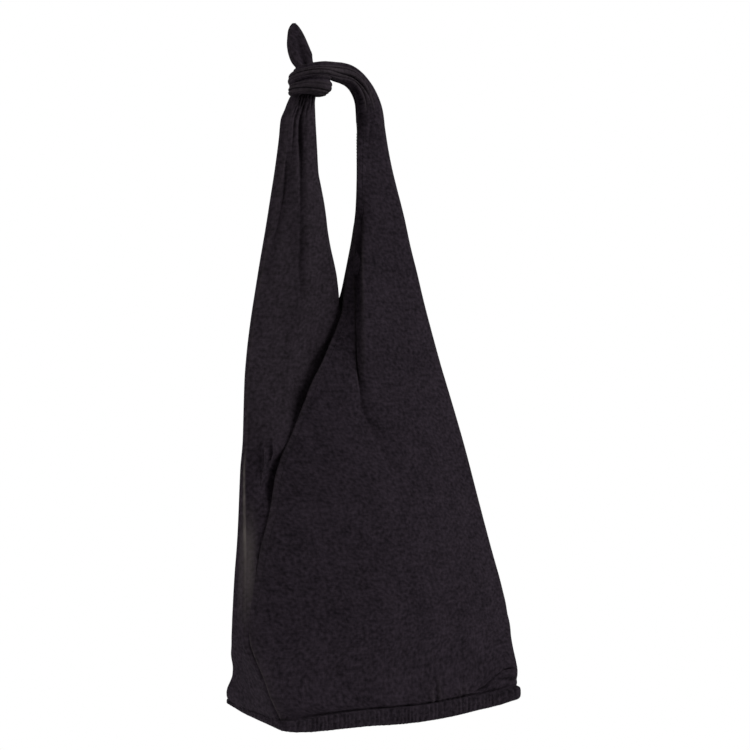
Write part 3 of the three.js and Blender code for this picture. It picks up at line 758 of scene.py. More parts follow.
edge_drop = curve(
    (100, 0), (150, 0), (200, 0.3), (250, 2.2), (300, 4.5), (330, 7), (345, 11), (355, 14.6), (366, 17.2),
    (385, 17), (409, 15.6), (440, 12.2), (455, 10.8), (470, 9.6), (486, 10.2), (500, 8.9), (515, 6.5),
    (530, 3), (560, 0),
)
turn_shape = curve((300, 1.7), (330, 1.5), (350, 1.1), (585, 1))


def valley(x, inner, z):
    """How far the valley and the strip beyond it lie below the face of the right wing."""
    line, deep = valley_line(z), valley_depth(z)
    beyond = ease(0, 1, (line + 1 - x) / STEP_WIDTH)
    turned = np.clip((line - x) / np.maximum(line - inner, LEAST_STRIP), 0, 1)
    stepped = between(*STEP_ROWS, z)
    fall = deep * stepped * beyond + (edge_drop(z) - deep * stepped) * turned ** turn_shape(z)
    wider = mix(2.2, 1, ease(320, 480, z))
    width = valley_width(z) * np.where(x < line - 0.5, wider, 1)
    soft = deep * (1 - stepped) * crease(x, line - 0.5, width)
    sharp = STEP_CREASE * stepped * crease(x, line - 0.9, STEP_CREASE_WIDTH)
    return fall * fade(*STRAP_ROWS, z) + soft + sharp

# %% [markdown]
# Near the right corner the seam has caught a fold that rises towards the side, with a short one below it. A
# grid shows a fold this sharp only along one of its rows, so the rows are bent up to follow it.

# %% Pinched fold
PINCH_ROW = 16.5
PINCH_DEPTHS = (9, 6.5)
PINCH_WIDTH = 0.9
PINCH_SPAN = (84, 96), (130, 141)
PINCH_HOLLOW, PINCH_SWELL = 1.4, 0.6
LOWER_PINCH_DEPTH = 4.6
LOWER_PINCH_WIDTH = 0.5
LOWER_PINCH_SPAN = (108, 116), (134, 142)
pinch_rise = curve(
    (80, 0), (90, 0.2), (97, 0.9), (106, 4.8), (117, 9.4), (127, 11.6), (135, 11.4), (142, 10),
)
lower_pinch = curve(
    (104, 16.4), (107, 16.2), (112, 15.6), (120, 14.9), (128, 14.5), (136, 14.3), (142, 14.2),
)


def bent_rows(x, depth, z):
    """Rise of a row over the front's right corner, where the row at PINCH_ROW follows the fold."""
    carried = between((13, PINCH_ROW), (PINCH_ROW + 1, 62), z)
    return pinch_rise(x) * carried * ease(5, 35, depth)


def pinched_fold(x, z):
    """How far the pinched folds lie below the face."""
    above = ease(-0.3, 0.5, z - PINCH_ROW) * np.exp(-np.clip(z - PINCH_ROW, 0, 60) / 7)
    below = between((13, 16), (PINCH_ROW - 0.2, PINCH_ROW + 0.4), z)
    sharp = mix(*PINCH_DEPTHS, ease(100, 122, x)) * crease(z, PINCH_ROW, PINCH_WIDTH)
    upper = (PINCH_HOLLOW * above - PINCH_SWELL * below + sharp) * between(*PINCH_SPAN, x)
    lower = LOWER_PINCH_DEPTH * crease(z, lower_pinch(x), LOWER_PINCH_WIDTH)
    return upper + lower * between(*LOWER_PINCH_SPAN, x)

# %% [markdown]
# The front layer lies a little off the bag, on top of the left wing, and its edge is sewn down near the
# corner. Least depths keep the layers from going through each other.

# %% Depth of the right wing's layers
TOP_LAYER = 1.2
SEWN_WIDTH = 9
SEWN_ROWS = (125, 180)
SEWN_DEPTHS = (0.9, 2.6)
UNDER_LAYER = 2.2
UNDER_ROWS = (100, 200), (380, 440)
BACK_STRAP_ROWS = (420, 500)
BACK_DENT, BACK_DENT_PLACE, BACK_DENT_WIDTH = 1.6, 0.55, 5
BACK_DENT_ROWS = (400, 500)
LEAST_DEPTH = 0.9
deepest_front = curve((320, 0.9), (345, -8), (420, -6), (450, -3), (480, -0.5), (510, 0.9))


def right_front_depth(x, z):
    inner = right_front_edge(z)
    sewn = fade(*SEWN_ROWS, z) * fade(0, SEWN_WIDTH, x - inner)
    sewn = sewn * mix(*SEWN_DEPTHS, ease(60, 95, z))
    face = bowed_depth(x, z, out=TOP_LAYER) - sewn
    share = ramp(inner, right_side(z) - corner_radius(z), x)
    strap = strap_depth(share, z, fold_depth(z), fold_fullness(z))
    depth = mix(face, strap, ease(*STRAP_ROWS, z)) - valley(x, inner, z)
    return np.maximum(depth - pinched_fold(x, z), deepest_front(z))


def right_back_depth(x, z):
    inner = right_back_edge(z)
    face = bowed_depth(x, z) - UNDER_LAYER * between(*UNDER_ROWS, z)
    share = ramp(inner, right_side(z) - corner_radius(z), x)
    strap = strap_depth(share, z, tucked_depth(z))
    depth = mix(face, strap, ease(*BACK_STRAP_ROWS, z))
    line = mix(inner, right_side(z), BACK_DENT_PLACE)
    dent = BACK_DENT * groove(x, line, BACK_DENT_WIDTH) * ease(*BACK_DENT_ROWS, z)
    return np.maximum(depth - dent, np.minimum(tucked_depth(z), LEAST_DEPTH))

# %% [markdown]
# The wound end is a flattened band with three pleats that wander as they go round, because a strap that is
# pulled tight gathers unevenly.

# %% Sections of the wound end
BAND_EDGE = 1.2
LEAST_BAND = 0.8
PLEATS = ((0.24, 0.05, 2, 0), (0.5, 0.05, 3, 1.7), (0.74, 0.055, 2.4, 3.9))
band_half_width = curve(
    (0, 16.2), (14, 15.6), (28, 13.6), (44, 11.8), (60, 10.8), (78, 9.4), (95, 8), (110, 7.4), (140, 7.6),
    (165, 8.6), (185, 10.2), (200, 10.2), (225, 8.2), (260, 8),
)
band_half_thickness = curve((0, 10), (30, 9.5), (60, 8.5), (90, 7), (150, 6.6), (180, 7.6), (260, 6.6))
band_lean = curve((0, 0), (90, 0), (120, -0.1), (155, 0.2), (180, 0.75), (200, 0.6), (225, 0.2), (260, 0.1))


def band_depth(share, run, half_thickness):
    """Half depth over the width of the band, at a distance along it, with its pleats."""
    depth = BAND_EDGE + (half_thickness - BAND_EDGE) * np.sqrt(1 - np.abs(2 * share - 1) ** 2.2)
    for place, width, deep, phase in PLEATS:
        line = place + 0.07 * math.sin(run / 21 + phase)
        strength = deep * (0.7 + 0.3 * math.sin(run / 13 + 2 * phase))
        depth = depth - strength * crease(share, line, width)
    return np.maximum(depth, LEAST_BAND)

# %% [markdown]
# The rows up to the crown are level, and closest together at the foot, where the pinched fold needs them.
# One column lies in the bottom of the valley all the way up, which keeps its crease sharp.

# %% Level rows of the right wing
STRIP_COLUMNS = 28
FRONT_COLUMNS = 56
BACK_COLUMNS = 42


def right_front_columns(inner, line, fold):
    """Columns over the front, one of them in the bottom of the valley."""
    strip = mix(inner + 1.2, line, 1 - (1 - even_shares(STRIP_COLUMNS - 1)) ** 1.25)
    rest = mix(line, fold, even_shares(FRONT_COLUMNS) ** 1.3)
    return np.concatenate([[inner], strip, rest[1:]])


def right_row(z):
    outer, radius = right_side(z), corner_radius(z)
    fold = outer - radius
    front = right_front_columns(right_front_edge(z), valley_line(z), fold)
    back = mix(right_back_edge(z), fold, even_shares(BACK_COLUMNS))
    width, depth = section_across(
        front, back, outer, radius, side_depth(z),
        lambda x: right_front_depth(x, z), lambda x: right_back_depth(x, z)
    )
    level = z + bent_rows(width, depth, z)
    width = width + (right_side(level) - outer) * ease(60, 140, width)
    return np.stack([width, -depth, level], axis=1)


foot_heights = np.concatenate([np.linspace(2, 12, 6), np.linspace(12.5, 19, 23), np.linspace(20, 42, 15)])
right_heights = np.concatenate([foot_heights, np.linspace(45, 440, 86), np.linspace(443, LEVEL_TOP, 44)])
level_rows = [right_row(z) for z in right_heights]
print("right wing has", len(level_rows), "level rows")

# %% [markdown]
# From the crown on, each row stands square to the strap's line. The section changes from the strap's to the
# band's within a few centimetres, and at its end the band closes.

# %% Wound rows, and the whole right wing
STRAP_MIDDLE = -7.7
STRAP_HALF_WIDTH = 16.3
VALLEY_FROM_MIDDLE = -4.3
WOUND_WITHIN = 45
CLOSING = 11
BAND_SIDE = 5.5
BACK_PLEAT_SHIFT = 40
# Strength of the ridge wear and painted highlight on the right wing, and of a painted highlight line.
RIGHT_RIDGE_WEAR_AND_HIGHLIGHT = 0.07
CORNER_HIGHLIGHT_LINE = 0.1


def wound_row(place, tangent, run, up):
    """The row at a place on the strap's line; up says how far its outer side has turned up."""
    outwards = np.array([1 - up, 0, up])
    outwards = unit(outwards - tangent * outwards.dot(tangent))
    outwards = unit(outwards + np.cross(outwards, tangent) * band_lean(run))
    closing = ease(strap_run[-1] - CLOSING, strap_run[-1], run)
    wound = ease(0, WOUND_WITHIN, run)
    half = band_half_width(run) * (1 - 0.3 * closing)
    thick = band_half_thickness(run) * (1 - 0.8 * closing)
    radius = mix(5, 3.6, wound) * (1 - 0.75 * closing)

    def layer(w, level_depth, shift, most):
        share = ramp(-half, half - radius, w)
        level = level_depth(STRAP_MIDDLE + w * STRAP_HALF_WIDTH / half, LEVEL_TOP)
        return mix(level, np.minimum(band_depth(share, run + shift, thick), most), wound)

    front = right_front_columns(-half, VALLEY_FROM_MIDDLE * half / STRAP_HALF_WIDTH, half - radius)
    back = mix(-half, half - radius, even_shares(BACK_COLUMNS))
    width, depth = section_across(
        front, back, half, radius, BAND_SIDE * (1 - 0.8 * closing),
        lambda w: layer(w, right_front_depth, 0, math.inf),
        lambda w: layer(w, right_back_depth, BACK_PLEAT_SHIFT, thick - 0.4)
    )
    return place + outwards * width[:, None] + np.cross(outwards, tangent) * depth[:, None]


tangents = unit(np.gradient(strap_line, axis=0))
turned_up = ease(20, 75, strap_run)
wound_rows = [wound_row(*spot) for spot in list(zip(strap_line, tangents, strap_run, turned_up))[1:]]
right_places = hang(np.array(level_rows + wound_rows))
# A painted highlight line along the front edge, low down at the left corner.
edge_column = right_places[:, len(HEM) : len(HEM) + 1]
near_edge = groove(length(right_places - edge_column), 0, 0.7)
right_corner_highlight = CORNER_HIGHLIGHT_LINE * between((4, 12), (72, 88), edge_column[..., 2]) * near_edge
right_wing, right_area = cloth_sheet(
    "right_wing", right_places, black_cloth, ridge_wear_and_highlight_strength=RIGHT_RIDGE_WEAR_AND_HIGHLIGHT, painted_highlight_and_wear=right_corner_highlight
)

# %% [markdown]
# ## The left wing
#
# The left strap is gathered tight under the knot: two deep pleats run far down the wing, and the others
# fade soon. Its end goes on up through the knot as the core that the other strap is wound on.

# %% Pleats of the left strap
STRAP_EDGE = 1.4
PLEAT_SPREAD = 3.2
SPREAD_ROWS = (570, 450)
GATHER_DEPTH = 1.5
GATHER_ROWS = (578, 597)
GATHER_FROM = (0.16, 0.3)
SHORT_PLEATS = ((0.3, 0.05, 0.9), (0.48, 0.035, 1.6), (0.72, 0.03, 1.6), (0.92, 0.03, 1.5))
LONG_PLEATS = ((0.62, 0.07, 3.8), (0.82, 0.065, 3.2))
pleat_fade = curve((400, 0), (500, 0.06), (545, 0.15), (575, 0.3), (594, 0.8), (604, 1.6), (644, 1.6))
main_fold_fade = curve((330, 0), (400, 0.12), (450, 0.32), (500, 0.6), (560, 1), (644, 1))


def left_strap_depth(share, z):
    depth = strap_depth(share, z, STRAP_EDGE)
    spread = mix(1, PLEAT_SPREAD, ease(*SPREAD_ROWS, z))
    for pleats, strength in ((SHORT_PLEATS, pleat_fade(z)), (LONG_PLEATS, main_fold_fade(z))):
        for place, width, deep in pleats:
            depth = depth - deep * strength * crease(share, place, width * spread)
    gather = 0.5 + 0.5 * np.sin(44 * share + 2.2 * math.sin(z / 4.3))
    return depth - GATHER_DEPTH * ease(*GATHER_ROWS, z) * gather * ease(*GATHER_FROM, share)

# %% [markdown]
# The pull of the knot also draws two long folds down the wing. Each rises steeply on its left and falls
# away slowly on its right, with a crease beside it.

# %% Two long folds
OUTER_FALL, INNER_FALL = 16, 20
OUTER_CREASE_WIDTH, INNER_CREASE_WIDTH = 2.8, 2.4
outer_crest = curve(
    (365, -134), (393, -130.4), (422, -125), (451, -119.5), (481, -113.5), (510, -104), (560, -98.5),
)
outer_crest_rise = curve((365, 8), (481, 8), (510, 11), (560, 9))
outer_crest_height = curve(
    (365, 0), (393, 1.1), (422, 2.1), (451, 3.2), (481, 3.6), (510, 4.4), (540, 3), (575, 0),
)
inner_crest = curve(
    (305, -106), (335, -104), (364, -94), (394, -88.5), (423, -84), (453, -86), (482, -89), (510, -90),
)
inner_crest_rise = curve((364, 13), (423, 16), (453, 18), (482, 22), (510, 20))
inner_crest_height = curve(
    (305, 0), (335, 1.1), (364, 1.8), (394, 2.8), (423, 3.8), (453, 4.4), (482, 5), (510, 5.2),
    (535, 2.6), (560, 0),
)
outer_crease = curve(
    (430, -129), (441, -127), (465, -120), (490, -114), (514, -109.8), (538, -108.5), (575, -104),
)
outer_crease_depth = curve((430, 0), (450, 2), (465, 4), (500, 4), (530, 3.4), (550, 2), (575, 0))
inner_crease = curve(
    (400, -91), (417, -92.6), (441, -94.6), (465, -95.4), (514, -95.6), (538, -94.4), (590, -93),
)
inner_crease_depth = curve(
    (390, 0), (417, 0.9), (441, 1.7), (490, 2), (538, 2.2), (558, 3), (575, 2.6), (592, 0),
)


def rise_and_fall(place, crest, rise=2, fall=5):
    """A fold that is steep on the left of its crest and runs out slowly on its right."""
    return ease(-rise, 0, place - crest) * np.exp(-np.clip(place - crest, 0, 60) / fall)


def long_folds(x, z):
    """Rise of the two folds over the face, with their creases."""
    creases = outer_crease_depth(z) * crease(x, outer_crease(z), OUTER_CREASE_WIDTH)
    creases = creases + inner_crease_depth(z) * crease(x, inner_crease(z), INNER_CREASE_WIDTH)
    outer = rise_and_fall(x, outer_crest(z), outer_crest_rise(z), OUTER_FALL)
    inner = rise_and_fall(x, inner_crest(z), inner_crest_rise(z), INNER_FALL)
    return outer_crest_height(z) * outer + inner_crest_height(z) * inner - creases

# %% [markdown]
# Left of the crossing edge the cloth is pulled straight from the side to the crossing. Right of it the
# layer follows the underside of the right wing. Beside the edge are a pocket and two kinks where the cloth
# is slack.

# %% Depth of the left wing's layers
NECK_ROWS = (425, 490)
PULLED_BOW, BOW_PEAK = 3.4, 4 / 27
COVERED_GAP = 2.4
PINCH_ROOM = 8
POCKET_DEPTH, POCKET_WIDTH = 4.9, 10.5
POCKET_ROWS = (200, 226), (244, 260)
KINKS = ((-136.5, 249, 17, 3.8), (-126.5, 255, 13, 3.42))
LOW_PLEAT, LOW_PLEAT_PLACE, LOW_PLEAT_WIDTH = 1.8, 0.74, 0.12
PULLED_ROWS = (150, 240)
COVERED_ROWS = (120, 200)
BACK_HOLLOW, BACK_HOLLOW_INSET, BACK_HOLLOW_WIDTH = 3, 24, 9
BACK_HOLLOW_ROWS = (280, 380), (420, 480)
under_gap = curve(
    (120, 1.4), (188, 1.6), (215, 2), (246, 1.6), (270, 1.7), (283, 2.6), (297, 6), (318, 9), (345, 11),
    (362, 10), (380, 7), (396, 4), (410, 3), (430, 2),
)
crossing_dip = curve((262, 0), (290, 2.2), (320, 3.6), (350, 4.2), (385, 3.2), (420, 1), (440, 0))


def left_flat_depth(x, z, outer):
    """Half depth of the front layer, before its folds."""
    edge, gap = right_front_edge(z), under_gap(z)
    edge_depth = right_front_depth(np.array([edge]), z)[0]
    across = ramp(outer, edge, x)
    bow = PULLED_BOW / BOW_PEAK * across * (1 - across) ** 2
    pulled = mix(side_depth(z), edge_depth - gap, across) + bow
    pulled = pulled - crossing_dip(z) * ease(0.35, 1, across)
    boxed = bowed_depth(x, z) - gap * groove(x, edge + 4, 16)
    seen = mix(boxed, pulled, ease(*PULLED_ROWS, z))
    covered = right_front_depth(x, z) - mix(gap, COVERED_GAP, ease(0, 25, x - edge))
    covered = mix(boxed, covered, ease(*COVERED_ROWS, z))
    covered = covered - PINCH_ROOM * ease(58, 82, x) * fade(50, 85, z)
    return np.where(x < edge, seen, covered)


def left_front_depth(x, z):
    outer = left_side(z) + corner_radius(z)
    share = ramp(left_front_edge(z), outer, x)
    away = ease(0, 14, x - left_side(z))
    pocket = POCKET_DEPTH * groove(x, right_front_edge(z) - 2, POCKET_WIDTH) * between(*POCKET_ROWS, z)
    kinks = sum(far * rise_and_fall(x, crest) * groove(z, row, tall) for crest, row, tall, far in KINKS)
    flat = left_flat_depth(x, z, outer) + (kinks - pocket) * away
    depth = mix(flat, left_strap_depth(share, z), ease(*NECK_ROWS, z))
    pleat = LOW_PLEAT * main_fold_fade(z) * groove(share, LOW_PLEAT_PLACE, LOW_PLEAT_WIDTH)
    depth = depth - pleat * fade(*NECK_ROWS, z) + long_folds(x, z) * away
    return np.maximum(depth, np.minimum(deepest_front(z), LEAST_DEPTH))


def left_back_depth(x, z):
    inner = left_back_edge(z)
    share = ramp(inner, left_side(z) + corner_radius(z), x)
    most = mix(STRAP_EDGE, side_depth(z), share) + 9 * (share * (1 - share)) ** 0.4
    strap = np.minimum(left_strap_depth(1 - 0.9 * share, z), most)
    depth = mix(bowed_depth(x, z, out=TOP_LAYER), strap, ease(*NECK_ROWS, z))
    hollow = BACK_HOLLOW * groove(x, inner - BACK_HOLLOW_INSET, BACK_HOLLOW_WIDTH)
    return np.maximum(depth - hollow * between(*BACK_HOLLOW_ROWS, z), LEAST_DEPTH)

# %% [markdown]
# The left wing has the same kind of rows, mirrored: distances count to the left, and the back layer is on
# top. Few columns lie below the right wing. The boxed end has a fold where the gusset is pressed flat.

# %% Level rows of the left wing
LAYER_COLUMNS = 66
LEFT_SIDE_COLUMNS = 40
COVERED_COLUMNS = 16
VISIBLE_COLUMNS = 54
GUSSET_CREASE, GUSSET_CREASE_WIDTH = 2.2, 2.4
gusset_fold = curve((20, 40), (36, 30), (44, 12), (60, 2), (74, -8))
gusset_fold_strength = curve((18, 0), (32, 0.8), (44, 1), (66, 1), (76, 0))


def left_front_columns(z, fold):
    """Columns of the front layer, as distances to the left."""
    start = -left_front_edge(z)
    shown = (-right_front_edge(z) - 6 - start) / (fold - start)
    shown = max(shown, COVERED_COLUMNS / (COVERED_COLUMNS + VISIBLE_COLUMNS))
    visible = mix(shown, 1, even_shares(VISIBLE_COLUMNS))[1:]
    return mix(start, fold, np.concatenate([shown * even_shares(COVERED_COLUMNS), visible]))


def left_row(z):
    radius = corner_radius(z)
    fold = -left_side(z) - radius
    back = mix(-left_back_edge(z), fold, even_shares(LAYER_COLUMNS))
    width, depth = section_across(
        back, left_front_columns(z, fold), -left_side(z), radius, side_depth(z),
        lambda w: left_back_depth(-w, z), lambda w: left_front_depth(-w, z), LEFT_SIDE_COLUMNS
    )
    gusset = ease(-132, -138, -width) * gusset_fold_strength(z)
    width = width - GUSSET_CREASE * gusset * crease(depth, gusset_fold(z), GUSSET_CREASE_WIDTH)
    return np.stack([-width, depth, np.full_like(width, z)], axis=1)


left_heights = np.concatenate([foot_heights, np.linspace(45, 440, 118), np.linspace(443, 622, 76)])
left_places = hang(np.array([left_row(z) for z in left_heights]))
print("left wing has", len(left_heights), "rows")

# %% [markdown]
# The front corner of the left side is painted pale as a highlight: a narrow, uneven streak on the fold, and
# a soft patch beside it lower down.

# %% Painted highlight streak, and the whole left wing
FAINT_RIDGE_WEAR_AND_HIGHLIGHT = 0.06
UPPER_WEAR = 0.02
HIGHLIGHT_STREAK_WIDTHS = (1.5, 0.6)
left_highlight_strength = curve(
    (70, 0.08), (110, 0.12), (135, 0.16), (150, 0.22), (165, 0.5), (180, 0.56), (198, 0.5), (212, 0.62),
    (232, 0.52), (246, 0.32), (256, 0.12), (264, 0.06), (640, 0.06),
)
soft_highlight_patch = curve((85, 0), (110, 0.11), (140, 0.23), (165, 0.25), (190, 0.09), (215, 0))
left_level = left_heights[:, None]
from_fold = left_places[..., 0] - left_side(left_level)
front_corner = 0.5 - side_depth(left_level)
highlight_streak_width = mix(*HIGHLIGHT_STREAK_WIDTHS, ease(150, 235, left_level))
# A painted highlight streak along the front fold of the left side, with a painted patch beside it.
highlight_streak = groove(left_places[..., 1], front_corner, highlight_streak_width) * fade(5, 9, from_fold)
highlight_streak = FAINT_RIDGE_WEAR_AND_HIGHLIGHT + (1 - FAINT_RIDGE_WEAR_AND_HIGHLIGHT) * highlight_streak * (0.8 + 0.5 * waves(left_places, 4, 41))
highlight_patch = soft_highlight_patch(left_level) * groove(from_fold, 5, 6) * ease(4, -2, left_places[..., 1])
left_highlight_and_wear = highlight_patch + UPPER_WEAR * ease(230, 300, left_level)
left_wing, left_area = cloth_sheet(
    "left_wing", left_places, black_cloth, ridge_wear_and_highlight_strength=left_highlight_strength(left_level) * highlight_streak, painted_highlight_and_wear=left_highlight_and_wear
)

# %% [markdown]
# ## Cloth that crosses the neck
#
# Each wing belongs to two bodies: the loop that hangs, and the bag that swings below it. A sheet can't be
# cut there, so here each wing stays whole, and the frame's wing parts are hidden.

# %% Bake the wings and hide the frame's wing parts
for wing in (right_wing, left_wing):
    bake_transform(wing)
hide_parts("right_wing_front", "right_wing_side", "right_wing_underlay", "right_front_hem",
            "right_back_hem", "right_strap", "knot_wrap")
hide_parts("left_wing_back", "left_wing_side", "left_wing_underlay", "left_front_hem",
            "left_back_hem", "left_strap", "knot_core")

# %% [markdown]
# ## The tails
#
# Each strap ends in a pointed leaf of cloth, folded along its length: the same kind of grid, with a section
# that is folded once. The left one stands up out of the knot.

# %% Left tail, a folded leaf of cloth
LEAF_COLUMNS = 22
LEAF_EDGE = 0.6
tail_open = curve(
    (612, -87), (627, -88), (633, -93), (638, -98.6), (642, -101.2), (648, -103.6), (656, -104.8),
    (667, -104.2), (672, -102.4), (675.8, -99.6),
)
tail_fold = curve(
    (612, -68), (627, -69), (634, -74), (642, -76), (648, -76.5), (653, -79), (659, -82.3), (664, -85.3),
    (670, -89.6), (674, -93.6), (675.8, -96.6),
)
tail_half = curve((612, 7), (627, 6.5), (634, 5), (645, 3.4), (660, 2), (675.8, 0.6))


def leaf(heights, open_edge, fold_edge, middle, half_thickness, dents):
    """Rows of a leaf, over one layer and back over the other; dents move both together."""
    share = even_shares(LEAF_COLUMNS)
    bulge = np.sqrt(np.clip(1 - (2 * share - 1) ** 4, 0, 1))
    rows = []
    for z in heights:
        x = mix(open_edge(z), fold_edge(z), share)
        y = middle(z) + dents(share, z)
        half = half_thickness(z) * bulge + LEAF_EDGE
        y = np.concatenate([y - half, (y + half)[::-1]])
        rows.append(np.stack([np.concatenate([x, x[::-1]]), y, np.full(len(y), z)], axis=1))
    return np.array(rows)


def left_dents(share, z):
    return 2.2 * groove(share, 0.45, 0.16) * fade(640, 668, z) - groove(share, 0.75, 0.2)


left_leaf = leaf(
    np.linspace(612, 675.8, 64), tail_open, tail_fold,
    lambda z: -0.5 - 2 * ease(640, 678, z), tail_half, left_dents
)
left_tail, left_tail_area = cloth_sheet("left_tail_leaf", left_leaf, black_cloth)
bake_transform(left_tail)
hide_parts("left_tail")

# %% [markdown]
# The right tail hangs behind the knot. Its rows run downwards, so its columns run the other way too, which
# keeps the outside of the cloth outside.

# %% Right tail
hang_open = curve((555, -75), (560, -79.5), (575, -84), (590, -85.5), (602, -85), (612, -83), (619, -81))
hang_fold = curve(
    (555, -74.4), (560, -71.5), (575, -67.5), (590, -66), (602, -66.5), (612, -69), (619, -71),
)
hang_half = curve((555, 0.5), (575, 1.8), (600, 2.6), (612, 3))
right_leaf = leaf(
    np.linspace(555.2, 619, 50)[::-1], hang_open, hang_fold,
    lambda z: 17.7 - 1.5 * ease(600, 560, z), hang_half,
    lambda share, z: 1.2 * groove(share, 0.5, 0.15)
)
right_tail, right_tail_area = cloth_sheet("right_tail_leaf", right_leaf[:, ::-1], black_cloth)
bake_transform(right_tail)
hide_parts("right_tail")

# %% [markdown]
# ## The stitches
#
# The thread is dyed like the cloth, but twisted and a little shinier. Its fibres are far finer than a
# stitch, so one noise does for both their colour and their relief.

# %% Thread
FIBRES = 900
FIBRE_RELIEF = 0.0001
THREAD_DARK = (0.006, 0.0045, 0.0065, 1)
THREAD_PALE = (0.026, 0.02, 0.027, 1)
thread, tree = new_material("thread", {"Roughness": 0.8, "Specular IOR Level": 0.12})
place = add_node(tree, "ShaderNodeTexCoord").outputs["Object"]
fibres = {"Vector": place, "Scale": FIBRES, "Detail": 2}
fibres = add_node(tree, "ShaderNodeTexNoise", fibres).outputs["Fac"]
dye = {"Factor": fibres, "A": THREAD_DARK, "B": THREAD_PALE}
dye = add_node(tree, "ShaderNodeMix", dye, data_type="RGBA").outputs["Result"]
ply = {"Strength": 0.5, "Distance": FIBRE_RELIEF, "Height": fibres}
ply = add_node(tree, "ShaderNodeBump", ply).outputs["Normal"]
fill(tree, tree.nodes["Principled BSDF"], {"Base Color": dye, "Normal": ply})
print("thread finish with", len(tree.nodes), "nodes")

# %% [markdown]
# Each free edge is turned under and held by stitches. Real thread stands on the cloth and catches light, so
# each stitch is a bead. The row is read off the wing's grid, so it follows every fold. The edge on top is
# stitched from the corner up, and the other one shows only above the crossing.

# %% Stitches along the hems
STITCH_PITCH = 3.2
STITCH_HALF = (1.15, 0.36, 0.3)
STITCH_LIFT = 0.15
BEAD_SIDES, BEAD_BANDS = 6, 4
HEM_INSET = 6.5
TOP_EDGE_FROM, UNDER_EDGE_FROM, STITCH_TOP = 92, 400, 578


def add_bead(beads, placed):
    """A small sphere, built vertex by vertex, so that its order is the same at each run."""
    rings = []
    for down in math.pi * even_shares(BEAD_BANDS)[1:-1]:
        turns = 2 * math.pi * (np.arange(BEAD_SIDES) + 0.5) / BEAD_SIDES
        ring = [(math.sin(down) * math.cos(t), math.sin(down) * math.sin(t), math.cos(down)) for t in turns]
        rings.append([beads.verts.new(placed @ Vector(point)) for point in ring])
    top, bottom = [beads.verts.new(placed @ Vector((0, 0, end))) for end in (1, -1)]
    for i in range(BEAD_SIDES):
        j = (i + 1) % BEAD_SIDES
        beads.faces.new((top, rings[0][i], rings[0][j]))
        for upper, lower in zip(rings, rings[1:]):
            beads.faces.new((upper[i], lower[i], lower[j], upper[j]))
        beads.faces.new((bottom, rings[-1][j], rings[-1][i]))


def stitch_row(beads, line, normals):
    """Adds one bead for each pitch of the line, along it and flat on the cloth below it."""
    run = run_along(line)
    at = np.arange(0.5 * STITCH_PITCH, run[-1], STITCH_PITCH)
    spots, ups = at_runs(at, run, line), at_runs(at, run, normals)
    ahead = at_runs(at + 0.5, run, line)
    for spot, up, forward in zip(to_frame(spots + STITCH_LIFT * ups), ups, ahead - spots):
        forward = Vector(forward).normalized()
        side = Vector(up).cross(forward).normalized()
        turned = Matrix((forward, side, forward.cross(side))).transposed().to_4x4()
        sized = Matrix.Diagonal((*[half * MM for half in STITCH_HALF], 1))
        add_bead(beads, Matrix.Translation(Vector(spot)) @ turned @ sized)
    return len(at)


def hem_line(places, normals, low):
    """The line inside a wing's first free edge, with the cloth's outward directions there."""
    points, ups = [], []
    for row, up in zip(places[:, len(HEM) :], normals[:, len(HEM) :]):
        if low < row[0, 2] < STITCH_TOP:
            run = run_along(row)
            points.append(at_runs(HEM_INSET, run, row))
            ups.append(at_runs(HEM_INSET, run, up))
    return np.array(points), np.array(ups)


level_places = right_places[: len(right_heights)]
for name, places in (("right_hem_stitches", level_places), ("left_hem_stitches", left_places)):
    normals = outward(places)
    beads = bmesh.new()
    count = stitch_row(beads, *hem_line(places, normals, TOP_EDGE_FROM))
    count += stitch_row(beads, *hem_line(places[:, ::-1], normals[:, ::-1], UNDER_EDGE_FROM))
    for face in beads.faces:
        face.smooth = True
    stitches = object_from(beads, name, thread)
    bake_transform(stitches)
    print(name, "has", count, "stitches")

# %% [markdown]
# ## The base
#
# The walls are joined to the floor of the bag in a seam that is rolled into a welt. It follows a rounded
# rectangle, so first comes a line round the base, with its outward directions.

# %% Round the base
BASE_CORNER = 6
CORNER_STEPS = 6


def round_base(count):
    """Places, outward directions and distances at even steps, anticlockwise from the front's middle."""
    x, y = BASE_HALF_WIDTH - BASE_CORNER, BASE_HALF_DEPTH - BASE_CORNER
    front_middle = (0, -BASE_HALF_DEPTH)
    points = [front_middle]
    for centre_x, centre_y, start in ((x, -y, -90), (x, y, 0), (-x, y, 90), (-x, -y, 180)):
        for turn in np.radians(start + 90 * even_shares(CORNER_STEPS)):
            points.append((centre_x + BASE_CORNER * math.cos(turn), centre_y + BASE_CORNER * math.sin(turn)))
    points = np.array(points + [front_middle])
    run = run_along(points)
    at = np.linspace(0, run[-1], count)
    line = at_runs(at, run, points)
    along = np.gradient(line, axis=0)
    along[0] = along[-1] = (1, 0)
    along = unit(along)
    return line, np.stack([along[:, 1], -along[:, 0]], axis=1), at


WELT_STEPS = 840
welt_line, welt_out, welt_run = round_base(WELT_STEPS + 1)
print("welt is", round(welt_run[-1]), "mm round")

# %% [markdown]
# Sewing draws the welt into puckers, and at two corners it stands out as an ear, on its outer face only. It
# is a closed band: a grid that runs round the base and round its own section, with its ends welded.

# %% Welt with puckers
WELT_ROUND = 20
WELT_MIDDLE, WELT_HALF = -2.3, 2.4
PUCKER_REACH, PUCKER_DROP = 1.3, 0.45
EARS = ((-140, 57, 4.2, 17), (140, -57, 3.6, 14))
WELD = 0.00002


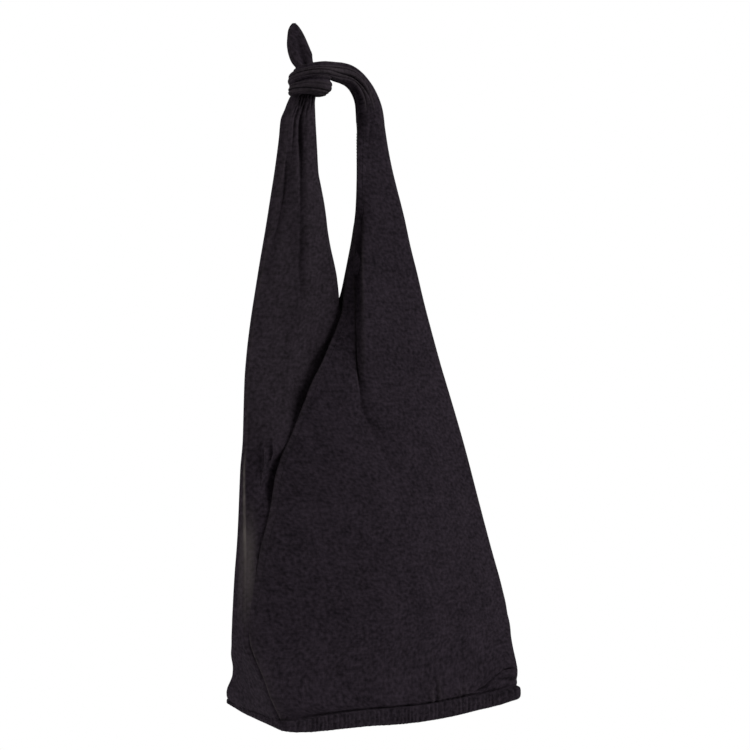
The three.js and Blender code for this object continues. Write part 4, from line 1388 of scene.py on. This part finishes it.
def welt_pucker(turn):
    """Rounded swells with sharp valleys between them, at a turn round the base."""
    phase = 69 * turn + 1.6 * math.sin(9 * turn) + 0.9 * math.sin(23 * turn)
    swell = abs(math.sin(phase)) ** 0.6 - 0.7
    return swell + 0.3 * math.sin(31 * turn + 2 * math.sin(7 * turn))


section = 2 * math.pi * even_shares(WELT_ROUND)
face = np.sign(np.cos(section)) * np.abs(np.cos(section)) ** 0.45
rise = np.sign(np.sin(section)) * np.abs(np.sin(section)) ** 0.7
rings = []
for (x, y), out, run in zip(welt_line, welt_out, welt_run):
    pucker = welt_pucker(2 * math.pi * run / welt_run[-1])
    ear = sum(far * groove(math.hypot(x - ear_x, y - ear_y), 0, wide) for ear_x, ear_y, far, wide in EARS)
    reach = WELT_MIDDLE + WELT_HALF * face + PUCKER_REACH * pucker * np.clip(face, 0, 1)
    reach = reach + ear * (0.5 + 0.5 * face)
    height = welt_height(x, y) * (0.5 + 0.5 * rise) + PUCKER_DROP * pucker * np.clip(-rise, 0, 1)
    rings.append(np.stack([x + out[0] * reach, y + out[1] * reach, height], axis=1))
welt_places = np.array(rings)
welt_places[..., 2] -= sag_below(welt_places)
base_welt, _ = cloth_sheet("base_welt", welt_places, welt_cloth, thickness=0)
band = bmesh.new()
band.from_mesh(base_welt.data)
bmesh.ops.remove_doubles(band, verts=band.verts, dist=WELD)
bmesh.ops.recalc_face_normals(band, faces=band.faces)
band.to_mesh(base_welt.data)
band.free()
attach(base_welt, "bag")
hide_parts("base_welt_front", "base_welt_back", "base_welt_left", "base_welt_right")

# %% [markdown]
# The base is one flat cloth, held on all sides by the welt. It sags with the foot and has slight ripples
# that die out towards the seam.

# %% Floor of the bag
PANEL_ROWS, PANEL_COLUMNS = 44, 96
PANEL_HALF_WIDTH, PANEL_HALF_DEPTH = 137.5, 55
PANEL_HEIGHT = 2
PANEL_RIPPLES = ((0.8, 46, 5), (0.35, 14, 9))
PANEL_MARGIN = 14
across = np.linspace(-PANEL_HALF_WIDTH, PANEL_HALF_WIDTH, PANEL_COLUMNS + 1)
x, y = np.meshgrid(across, np.linspace(-PANEL_HALF_DEPTH, PANEL_HALF_DEPTH, PANEL_ROWS + 1))
ripple = mixed_waves(np.stack([x, y, np.zeros_like(x)], axis=2), PANEL_RIPPLES)
inside = np.minimum(PANEL_HALF_WIDTH - np.abs(x), PANEL_HALF_DEPTH - np.abs(y))
base_places = np.stack([x, y, PANEL_HEIGHT + ripple * ease(0, PANEL_MARGIN, inside)], axis=2)
base_places[..., 2] -= sag_below(base_places)
base_cloth, _ = cloth_sheet("base_cloth", base_places, black_cloth)
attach(base_cloth, "bag")
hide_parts("base_panel")
